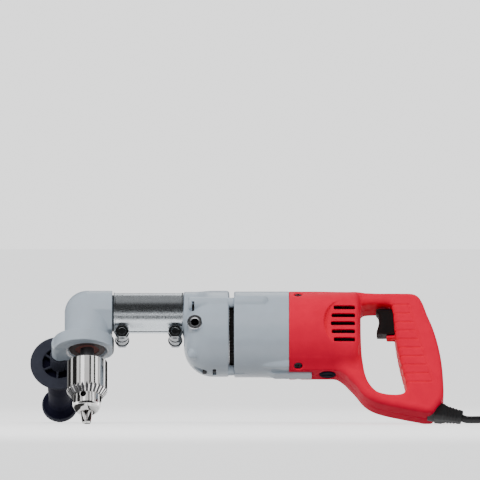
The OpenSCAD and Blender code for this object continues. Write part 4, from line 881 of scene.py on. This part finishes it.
def motor_field(g):
    solid = rod_x(g, MOTOR_X, REAR_X + 4, MOTOR_R, MOTOR_Z, rd=2)
    for a in RIDGE_TURNS:
        y, z = at_turn(a, RIDGE_RING)
        ridge = rod_x(g, MOTOR_X, MOTOR_X + 60, RIDGE_R, z, y, rd=2)
        nose = ball(g, RIDGE_R, MOTOR_X + RIDGE_LEN, y, z)
        solid = smin(solid, minimum(maximum(ridge, g[0] - MOTOR_X - RIDGE_LEN), nose), 0.8)
    for a, lowest in FAIRING_LOWS.items():
        y, z = at_turn(a, FAIRING_RING)
        swell = FAIRING_R * np.sqrt(clip((g[0] - FAIRING_X) / FAIRING_LEN, 0, 1))
        fairing = maximum(hypot(g[1] - y, g[2] - z) - swell, lowest - g[2])
        solid = smin(solid, fairing, 1.0)
    solid = smax(solid, g[0] - REAR_X, 1.0)
    pad = pad_block(g, PAD_BOTTOM, -70)
    slope = PAD_BOTTOM - 2 + clip((PAD_X + 6 - g[0]) * 0.7, 0, 40)
    pad = smax(pad, slope - g[2], 3)
    outer = hypot(g[1], g[2] - MOTOR_Z)
    pad = maximum(pad, np.where(g[0] > REAR_X, MOTOR_R - outer, -1e3))
    solid = smin(solid, pad, 1.2)
    solid = minimum(solid, rod_x(g, REAR_X - 2, SPIGOT_END, SPIGOT_R, MOTOR_Z))
    solid = cut(solid, rod_x(g, MOTOR_X - 4, REAR_X + 1, MOTOR_R - MOTOR_WALL, MOTOR_Z))
    solid = cut(solid, rod_x(g, REAR_X - 1, SPIGOT_END + 4, SPIGOT_IN, MOTOR_Z))
    for a in CASE_SCREW_TURNS:
        y, z = at_turn(a, SCREW_RING)
        solid = minimum(solid, rod_x(g, MOTOR_X, MOTOR_BOSS_END, MOTOR_BOSS_R, z, y))
        solid = cut(solid, rod_x(g, MOTOR_X - 2, MOTOR_HOLE_END, SCREW_R, z, y))
    return solid


form(
    "motor_casting", motor_field, [((164, -54, -83), (262, 54, 27))], 0.8, "motor_unit",
    "motor_housing",
)


# Rear handle: thousandths of its length and depth, outside and then inside
RING = [
    (454, 0, 471, 96), (584, 0, 567, 88), (726, 0, 646, 93), (816, 8, 672, 133),
    (861, 65, 678, 195), (895, 174, 683, 276), (933, 288, 692, 371), (966, 426, 706, 480),
    (989, 576, 726, 596), (1000, 739, 751, 718), (999, 868, 761, 786), (963, 939, 745, 831),
    (916, 1000, 709, 846), (816, 984, 658, 846), (717, 960, 609, 837), (618, 933, 567, 817),
    (539, 899, 531, 773), (480, 847, 502, 710), (425, 761, 480, 610), (372, 690, 464, 514),
    (330, 610, 456, 405), (326, 426, 453, 290), (340, 201, 453, 174), (390, 60, 456, 120),
]
outer_loop = closed_run([handle_point(a / 1000, b / 1000) for a, b, _, _ in RING], 4)
inner_loop = closed_run([handle_point(c / 1000, d / 1000) for _, _, c, d in RING], 4)
RIB_ZS = np.linspace(1.8, -94.7, 10)
GRIP_X = handle_point(0.683, 0)[0]
TRIGGER_TOP = HANDLE_TOP - HANDLE_DEEP * 0.103
TRIGGER_LOW = TRIGGER_TOP - TRIGGER_H
SWITCH_X = GRIP_X + 7 + HANDLE_LEN * 0.06
BODY_X, BODY_END = REAR_X + HANDLE_LEN * 0.17, REAR_X + HANDLE_LEN * 0.4525
END_HALF, END_MID, END_HIGH, END_ROUND, BODY_LOW, RING_ROUND = 42, -27.95, 45.55, 27, -74, 6
VENT_FACE, VENT_X, VENT_Z, VENT_RING, VENT_STEP = 41.5, 305.0, -30.6, 33.0, 10.0
VENTS, VENT_FROM, VENT_TO, VENT_HALF, VENT_DEEP = 5, 280, 307.5, 2.3, 12
BAFFLE_X, BAFFLE_MID, BAFFLE_END, BAFFLE_HALF = 280.5, 292.5, 309, 2.2
BAFFLE_LOW, BAFFLE_TOP, BAFFLE_RUNS = -62, 6, ((-62, -36), (-14.2, 6))
EDGE_TOP, EDGE_LOW, EDGE_FALL = 370, 396.4, 93.4
KEEL = [(-27.5, -67), (-14, -77.2), (14, -77.2), (27.5, -67), (27.5, -40), (-27.5, -40)]
KEEL_END = 300.0


def handle_solid(g):
    x, y, z = g
    flat = maximum(outline(x, z, outer_loop), -outline(x, z, inner_loop))
    ring = rounded(flat + RING_ROUND, np.abs(y) - HANDLE_HALF + RING_ROUND, RING_ROUND)
    t = clip((x - BODY_X) / (BODY_END - BODY_X), 0, 1)
    s = t * t * (3 - 2 * t)
    circle = hypot(y, z - MOTOR_Z) - MOTOR_R
    wide, high = np.abs(y) - END_HALF, np.abs(z - END_MID) - END_HIGH
    end = rounded(wide + END_ROUND, high + END_ROUND, END_ROUND)
    body = circle * (1 - s) + end * s
    keel = rounded(outline(y, z, KEEL) + 4, maximum(REAR_X - 30 - x, x - KEEL_END) + 4, 4)
    body = smin(smax(body, BODY_LOW - z, 1.5), keel, 1.5)
    body = smax(maximum(body, REAR_X - x), x - BODY_END, 9)
    pocket = hypot(x - VENT_X, z - VENT_Z) - VENT_RING
    body = smax(body, -smax(pocket, VENT_FACE - np.abs(y), 1.0), 1.2)
    return smin(body, ring, 9)


def handle_field(g):
    x, y, z = g
    solid = handle_solid(g)
    inside = solid + WALL
    edge = EDGE_TOP + (EDGE_LOW - EDGE_TOP) * clip(-z / EDGE_FALL, -0.1, 1.1)
    on_grip = clip((edge - x) / 1.5, 0, 1) * clip((x - GRIP_X + 8) / 2, 0, 1)
    side = clip((np.abs(y) - 9) / 3, 0, 1)
    rib = sum(exp(-(((z - r) / 0.75) ** 2)) for r in RIB_ZS)
    frame_line = exp(-(((x - edge) / 1.2) ** 2)) * clip((z + 96) / 2, 0, 1)
    frame_line = frame_line * clip((4 - z) / 2, 0, 1)
    solid = solid + side * (1.2 * rib * on_grip + 0.9 * frame_line)
    lip = slab(g, GRIP_X - 9, GRIP_X + 8, -6, 6, TRIGGER_LOW - 4.4, TRIGGER_LOW - 0.6, rd=1.7)
    solid = smin(solid, lip, 2)
    solid = cut(solid, inside)
    runs = [(BAFFLE_MID, BAFFLE_LOW, BAFFLE_TOP)] + [(BAFFLE_X, *run) for run in BAFFLE_RUNS]
    for x0, z0, z1 in runs:
        baffle = slab(g, x0, BAFFLE_END, -BAFFLE_HALF, BAFFLE_HALF, z0, z1)
        solid = minimum(solid, baffle)
    for i in range(VENTS):
        zc, x0 = VENT_Z + (i - 2) * VENT_STEP, VENT_FROM + 0.8 * (i - 2) ** 2
        slot = slab(g, x0, VENT_TO, -60, 60, zc - VENT_HALF, zc + VENT_HALF, rd=1.2)
        solid = cut(solid, maximum(slot, VENT_DEEP - np.abs(y)))
    for s in (-1, 1):
        cap = rod(x - BRUSH_X, y, s * (z - MOTOR_Z), 34, 80, CAP_R + 0.2)
        solid = cut(solid, cap)
    for a in SCREW_TURNS:
        across, along = from_motor(g, a)
        solid = cut(solid, rod(x - SCREW_AT, across, along, MOTOR_R - 1.7, 80, SEAT_R))
        solid = cut(solid, rod(x - SCREW_AT, across, along, 40, 80, 2.2))
    room = slab(
        g, GRIP_X - TRIGGER_OUT, SWITCH_X, -TRIGGER_W / 2 - 0.3, TRIGGER_W / 2 + 0.3,
        TRIGGER_LOW - 0.3, TRIGGER_TOP + 0.3,
    )
    solid = cut(solid, room)
    pad = pad_block(g, -100, MOTOR_Z - 40)
    past = maximum(pad, MOTOR_R - hypot(y, z - MOTOR_Z))
    solid = cut(solid, np.where(x < SPIGOT_END, pad, past))
    along, across = along_boot(g)
    return cut(solid, rod(across, y, along, -8.4, 40, BOOT_R))


def handle_half(sign):
    return lambda g: maximum(handle_field(g), -sign * g[1] - 0.02)


# Painted shade: the baffles seen through the vents are near black, for the shade inside the
# shell.
def in_shaded_baffle(x, y, z):
    level = (z > BAFFLE_LOW - 1) & (z < BAFFLE_TOP + 1)
    return level & (x > BAFFLE_X - 1) & (x < BAFFLE_END - 0.5) & (np.abs(y) < BAFFLE_HALF + 0.6)


HANDLE_LOW, HANDLE_HIGH = (229, -53, -135), (412, 53, 26)
form(
    "handle_shell_near", handle_half(-1), [(HANDLE_LOW, (412, 3, 26))], 0.75, "motor_unit",
    "handle_left", [("black_plastic", in_shaded_baffle)],
)
form(
    "handle_shell_far", handle_half(1), [((229, -3, -135), HANDLE_HIGH)], 0.75, "motor_unit",
    "handle_right", [("black_plastic", in_shaded_baffle)],
)

# Trigger: shares of its reach and height
TRIGGER_ROUND, RIB_APART = 4, 5
TRIGGER_SHARES = [
    (0.02, 0.00), (0.00, 0.10), (0.12, 0.20), (0.17, 0.36), (0.16, 0.54), (0.10, 0.74),
    (0.03, 0.90), (0.06, 1.00),
]


def trigger_field(g):
    front = GRIP_X - TRIGGER_OUT
    back = SWITCH_X - 7.3
    side = [(front + TRIGGER_OUT * a, TRIGGER_TOP - TRIGGER_H * b) for a, b in TRIGGER_SHARES]
    side = side + [(back, TRIGGER_LOW), (back, TRIGGER_TOP)]
    flat = outline(g[0], g[2], side)
    wide = np.abs(g[1]) - TRIGGER_W / 2
    solid = rounded(flat + TRIGGER_ROUND, wide + TRIGGER_ROUND, TRIGGER_ROUND)
    rib = exp(-(g[1] ** 2)) + exp(-((np.abs(g[1]) - RIB_APART) ** 2))
    return solid + 0.5 * rib * clip((front + 9 - g[0]) / 2, 0, 1)


form(
    "trigger_grip", trigger_field, [((329, -12, -36), (368, 12, 3))], 0.6, "trigger",
    "trigger",
)

# Side handle: the guard's flare and the grip, as shares of their own sizes
GUARD_LOOK, GUARD_RIBS, GUARD_RIB_TURN, GUARD_RIB_HALF = 33.2, 6, 24, 1.2
FLARE = [(0.97, 0.10), (0.86, 0.22), (0.70, 0.40), (0.52, 0.66)]
GRIP_RUN = [(0.50, 1.00), (0.62, 1.05), (0.74, 1.02), (0.84, 0.98), (0.90, 1.04)]


def side_field(g):
    rim_t, recess = GUARD_LOOK / 9, GUARD_GAP * 0.42
    rim_in, deep = GUARD_LOOK * 0.57, GUARD_GAP + recess
    run = [(-5, 0), (HUB_R, 0), (HUB_R, deep), (rim_in, deep), (rim_in, GUARD_GAP)]
    run += [(GUARD_LOOK - rim_t / 3, GUARD_GAP), (GUARD_LOOK, GUARD_GAP + rim_t / 3)]
    run += [(GUARD_LOOK * a, GUARD_GAP + GUARD_LOOK * b) for a, b in FLARE]
    run += [(GRIP_R * b, SIDE_LEN * a) for a, b in GRIP_RUN]
    run += [(END_R - 3.3, SIDE_LEN - END_R * 0.36), (END_R, SIDE_LEN - END_R * 0.26)]
    run += [(END_R, SIDE_LEN), (-5, SIDE_LEN)]
    x, y, z = g[0] + BOSS_X, g[1] - BOSS_REACH, g[2] + BOSS_DROP
    r = hypot(x, z)
    solid = outline(r, y + 0 * r, run)
    for i in range(GUARD_RIBS):
        u, v = spoke(x, z, i * 360 / GUARD_RIBS + GUARD_RIB_TURN)
        rib = maximum(np.abs(v) - GUARD_RIB_HALF, maximum(HUB_R - 1 - u, u - rim_in - 1))
        rib = maximum(rib, maximum(GUARD_GAP + 1.2 - y, y - deep - 1))
        solid = smin(solid, rib, 0.8)
    return cut(solid, rod(x, z, y, -2, SIDE_LEN * 0.4, STUD_BORE))


# Painted highlight: a thin lighter ring on the chamfer at the grip's end, where its edge catches
# the light.
def on_end_rim_highlight(x, y, z):
    r, along = hypot(x + BOSS_X, z + BOSS_DROP), y - BOSS_REACH - SIDE_LEN + END_R * 0.26
    return (r > END_R - 1.5) & (np.abs(along) < 1.6)


form(
    "side_handle", side_field, [((-68, 27, -76), (3, 177, -3))], 0.8, "head",
    "side_handle_grip",
    [
        ("guard_face", lambda x, y, z: y - BOSS_REACH < GUARD_GAP + 4),
        ("guard_face", on_end_rim_highlight),
    ],
)


# Clamp sleeve with its two pairs of ears
BEAD_W, BEAD_H, SPLIT_HALF = 1.8, 0.6, 1.3


def sleeve_field(g):
    solid = rod_x(g, SLEEVE_X, SLEEVE_END, SLEEVE_R, rd=0.7)
    for x in LUG_XS:
        ear = rod_y(g, -LUG_HALF, LUG_HALF, LUG_R, x, -LUG_DROP, rd=0.9)
        web = slab(g, x - LUG_R, x + LUG_R, -LUG_HALF, LUG_HALF, -LUG_DROP, 0, rd=0.9)
        solid = smin(solid, minimum(ear, web), 1.6)
    for x in (SLEEVE_X, SLEEVE_END - BEAD_W):
        solid = minimum(solid, rod_x(g, x, x + BEAD_W, SLEEVE_R + BEAD_H, rd=BEAD_H))
    solid = cut(solid, rod_x(g, SLEEVE_X - 4, SLEEVE_END + 4, NECK_R))
    split = slab(g, SLEEVE_X - 4, SLEEVE_END + 4, -SPLIT_HALF, SPLIT_HALF, -60, 0)
    solid = smax(solid, -split, 0.5)
    for x in LUG_XS:
        solid = cut(solid, rod_y(g, -LUG_HALF - 2, LUG_HALF + 2, BOLT_R, x, -LUG_DROP))
    return solid


form(
    "clamp_tube", sleeve_field, [((27, -25, -38), (114, 25, 25))], 0.6, "head",
    "clamp_sleeve",
    [("bolt_steel", lambda x, y, z: z < -SLEEVE_R - 0.2)],
)


HEX_FLAT, WASHER_T = 0.866, 1.3


def hex_field(g, x, y0, y1, out):
    """Six sided head with a washer face inside and a chamfered end outside."""
    u, v = np.abs(g[0] - x), np.abs(g[2] + LUG_DROP)
    sides = maximum(v, u * HEX_FLAT + v * 0.5) - HEX_R * HEX_FLAT
    depth = (g[1] - y0) if out > 0 else (y1 - g[1])
    bevel = (hypot(u, v) - HEX_R * 0.90 - (HEX_H - depth) * 1.6) * 0.55
    head = smax(smax(sides, np.abs(depth - HEX_H / 2 - 0.6) - HEX_H / 2 + 0.6, 0.3), bevel, 0.3)
    washer = rod(u, v, depth, 0, WASHER_T, HEX_R, rd=0.3)
    dish = rod(u, v, depth, HEX_H - 0.5, HEX_H + 4, HEX_R * 0.52)
    return maximum(minimum(head, washer), -dish)


def bolt(g, x):
    shank = rod_y(g, -LUG_HALF - 2, LUG_HALF + HEX_H * 1.28, BOLT_R - 0.1, x, -LUG_DROP, rd=0.6)
    return minimum(hex_field(g, x, -LUG_HALF - HEX_H, -LUG_HALF, -1), shank)


def nut(g, x):
    solid = hex_field(g, x, LUG_HALF, LUG_HALF + HEX_H, 1)
    return cut(solid, rod_y(g, LUG_HALF - 2, LUG_HALF + 9, BOLT_R, x, -LUG_DROP))


form(
    "bolt_heads", each(bolt, LUG_XS),
    [around((x, 1, -LUG_DROP), (10, 19, 10)) for x in LUG_XS], 0.4, "head",
    "clamp_bolts", look="bolt_steel",
)
form(
    "bolt_nuts", each(nut, LUG_XS),
    [around((x, LUG_HALF + HEX_H / 2, -LUG_DROP), (10, 5, 10)) for x in LUG_XS], 0.4, "head",
    "clamp_nuts", look="bolt_steel",
)


# Chuck: outlines as pairs of radius and depth
TOOTH_OUT, TOOTH_UP, TOOTH_LEN, TOOTH_TOP = 8.8, 6.4, 10.9, 95.8
TOOTH_FLARE, TOOTH_EVEN, TOOTH_SHADE, TOOTH_IN = 0.82, 0.78, 0.25, 17.2
SHELL_BORE, SHELL_LIP, SHELL_STEP, SHANK_R, SHANK_END = 21.06, 17.1, 97.5, 9, -84
JAWS, KEY_DROP, JAW_LEAN = 3, KEY_R * 0.7, radians(JAW_SLOPE)
NOSE_RUN = [
    (-5, 61.8), (20.7, 61.8), (20.7, 91.1), (15.3, 91.2), (15.3, 97.8), (NOSE_R, 97.9),
    (NOSE_R, 112.6), (16.4, 115.6), (15.2, 118.8), (13.2, 121.7), (10.8, 123.8),
    (9.2, NOSE_END), (-5, NOSE_END),
]


def tooth_gap(x, y, z):
    """Distance to the nearest groove between the key teeth."""
    r, pitch = hypot(x, y), 2 * pi / KEY_TEETH
    turn = np.arctan2(y, x) / pitch
    across = np.abs(r * np.sin((turn - np.round(turn)) * pitch))
    above = ((r - CHUCK_R) * TOOTH_OUT + (-z - TOOTH_TOP) * TOOTH_UP) / TOOTH_LEN
    return (across - TOOTH_FLARE * above) * TOOTH_EVEN


# Painted shade: the grooves between the key teeth take a dark steel, for the shade in them.
def in_shaded_tooth_gap(x, y, z):
    return (tooth_gap(x, y, z) < TOOTH_SHADE) & (hypot(x, y) > TOOTH_IN)


# Painted shade: the key holes are near black inside, for the shade down them.
def in_shaded_key_hole(x, y, z):
    inside = np.zeros(len(x), dtype=bool)
    for i in range(JAWS):
        out, side = spoke(x, y, KEY_TURN + i * 360 / JAWS)
        hole = hypot(side, z + CONE_END + KEY_DROP) < KEY_R + 0.15
        inside |= hole & (out > 5) & (out < NOSE_R - 0.5)
    return inside


def shell_field(g):
    r, depth = hypot(g[0], g[1]), -g[2]
    run = [
        (SHELL_BORE, CHUCK_TOP), (CHUCK_R - 1.1, CHUCK_TOP), (CHUCK_R, CHUCK_TOP + 1.1),
        (CHUCK_R, CONE_TOP - 0.3), (CHUCK_R - 0.3, CONE_TOP + 0.3), (18.1, CONE_END),
        (SHELL_LIP, CONE_END), (SHELL_LIP, SHELL_STEP), (SHELL_BORE, SHELL_STEP),
    ]
    solid = outline(r, depth + 0 * r, run)
    return cut(solid, tooth_gap(g[0], g[1], g[2]))


def nose_field(g):
    r, depth = hypot(g[0], g[1]), -g[2]
    solid = outline(r, depth + 0 * r, NOSE_RUN)
    solid = cut(solid, rod_z(g, SHANK_END, -50, SHANK_R))
    solid = cut(solid, rod_z(g, -NOSE_END - 4, -87.4, BIT_R))
    for i in range(JAWS):
        turn = KEY_TURN + i * 360 / JAWS
        out, side = spoke(g[0], g[1], turn)
        level = g[2] + CONE_END + KEY_DROP
        solid = cut(solid, rod(side, level, out, NOSE_R * 0.6, 30, KEY_R))
        solid = smax(solid, -(hypot(side, level) - KEY_R - (out - NOSE_R + 0.5) * 0.9), 0.3)
        out, side = spoke(g[0], g[1], turn + 180 / JAWS)
        out, up = out - JAW_R * 0.66, g[2] + TIP_DEEP
        across, along = (
            out * cos(JAW_LEAN) - up * sin(JAW_LEAN),
            out * sin(JAW_LEAN) + up * cos(JAW_LEAN),
        )
        solid = cut(solid, rod(across, side, along, -5, 90, JAW_R + 0.15))
    return solid


form(
    "chuck_shell", shell_field, [((-25, -25, -107), (25, 25, -60))], 0.42, "chuck_ring",
    "chuck_sleeve", [("dark_steel", in_shaded_tooth_gap)],
)
form(
    "chuck_nose", nose_field, [((-22, -22, -127), (22, 22, -60))], 0.5, "chuck",
    "chuck_body", [("screw_black", in_shaded_key_hole)],
)


# Handle screws and brush caps
SCREW_TOP, HEAD_T, STAR_LONG, STAR_HALF, CAP_DROP = 48.7, 2.2, 2.7, 0.7, 2.8


def screw(g, a):
    across, along = from_motor(g, a)
    u = g[0] - SCREW_AT
    solid = minimum(
        rod(u, across, along, SCREW_TOP - HEAD_T, SCREW_TOP, 4.1, rd=0.8),
        rod(u, across, along, 42.5, SCREW_TOP - 1, 2.1),
    )
    star = minimum(
        maximum(np.abs(u) - STAR_HALF, np.abs(across) - STAR_LONG),
        maximum(np.abs(across) - STAR_HALF, np.abs(u) - STAR_LONG),
    )
    return cut(solid, maximum(star, SCREW_TOP - 1.5 - along))


form(
    "handle_screw_heads", each(screw, SCREW_TURNS),
    [around((SCREW_AT, *at_turn(a, 45.8)), 7) for a in SCREW_TURNS], 0.35, "motor_unit",
    "handle_screws", look="screw_black",
)


def cap_field(g):
    u = g[0] - BRUSH_X
    along = np.abs(g[2] - MOTOR_Z) - np.where(g[2] < MOTOR_Z, CAP_DROP, 0)
    solid = rod(u, g[1], along, 41.2, 48.2, CAP_R - 0.2, rd=0.6)
    slot = slab((u, g[1], along), -6.6, 6.6, -1.1, 1.1, 46.7, 60, rd=0.3)
    ring = maximum(np.abs(hypot(u, g[1]) - 7.9) - 0.35, 47.6 - along)
    return cut(solid, minimum(slot, ring))


form(
    "brush_cap_discs", cap_field,
    [around((BRUSH_X, 0, MOTOR_Z + z), (11, 11, 5)) for z in (45.0, -45.0 - CAP_DROP)], 0.4,
    "motor_unit", "brush_caps", look="black_grip",
)


# Fluted ring behind the air slot, round the fan, near black: painted shade for the dark inside
# the slot
FLUTED_R, FLUTED_X, FLUTED_HALF, FLUTE_TURN = 38, 166.4, 3.1, radians(6)


def fluted_field(g):
    r = hypot(g[1], g[2] - MOTOR_Z)
    ring = maximum(np.abs(r - FLUTED_R) - 0.7, np.abs(g[0] - FLUTED_X) - FLUTED_HALF)
    turn = np.arctan2(g[1], g[2] - MOTOR_Z) / FLUTE_TURN
    return ring + 0.35 * np.cos(turn * 2 * pi)


form(
    "slot_shade_ring", fluted_field, [((162, -41, -68), (170, 41, 15))], 0.6, "motor_unit",
    None, slot="black_plastic",
)


# Cord boot and plug
BOOT_RUN = [(0, 10.9), (8, 10.2), (9.4, 9.4), (24, 7.9), (BOOT_LEN, 7.3)]
BOOT_ROUND, BOOT_GROOVES, PLUG_FLUTES = 5.6, (13, 16.6, 20.2, 23.8), 14
PLUG_RUN = [
    (-5, 0), (14.2, 0), (PLUG_R, 0.8), (PLUG_R, 8.6), (14.2, 9.6), (12.2, 11.5), (11.2, 15),
    (10.8, 21), (9.6, 27), (7.8, 33), (7.0, PLUG_LEN), (-5, PLUG_LEN),
]


def boot_field(g):
    along, across = along_boot(g)
    half = np.interp(along, *zip(*BOOT_RUN))
    half = half - sum(0.7 * exp(-(((along - c) / 0.8) ** 2)) for c in BOOT_GROOVES)
    rise = np.interp(along, [8, BOOT_LEN], [0, 0.8])
    block = rounded(
        np.abs(across - rise) - half + BOOT_ROUND, np.abs(g[1]) - half + BOOT_ROUND, BOOT_ROUND
    )
    block = smax(block, -0.2 - along, 0.4)
    root = rod(across, g[1], along, -8.2, 1, BOOT_R - 0.3)
    return smax(minimum(block, root), along - BOOT_LEN, 1.2)


form(
    "boot_block", boot_field, [((388, -14, -150), (440, 14, -108))], 0.5, "motor_unit",
    "cord_boot",
)


def plug_field(g):
    along, y, z = g[0] - plug_at[0], g[1] - plug_at[1], g[2] - PLUG_R
    r = hypot(y, z)
    solid = outline(r, along + 0 * r, PLUG_RUN)
    grip = clip((along - 12) / 2, 0, 1) * clip((29 - along) / 2, 0, 1)
    return solid + 0.5 * grip * (1 + np.cos(PLUG_FLUTES * np.arctan2(y, z)))


form(
    "plug_grip", plug_field, [around((plug_at[0] + 17, plug_at[1], PLUG_R), (20, 17, 17))], 0.5,
    "motor_unit", "plug_body", place=lambda p: p * MM,
)

low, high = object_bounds()
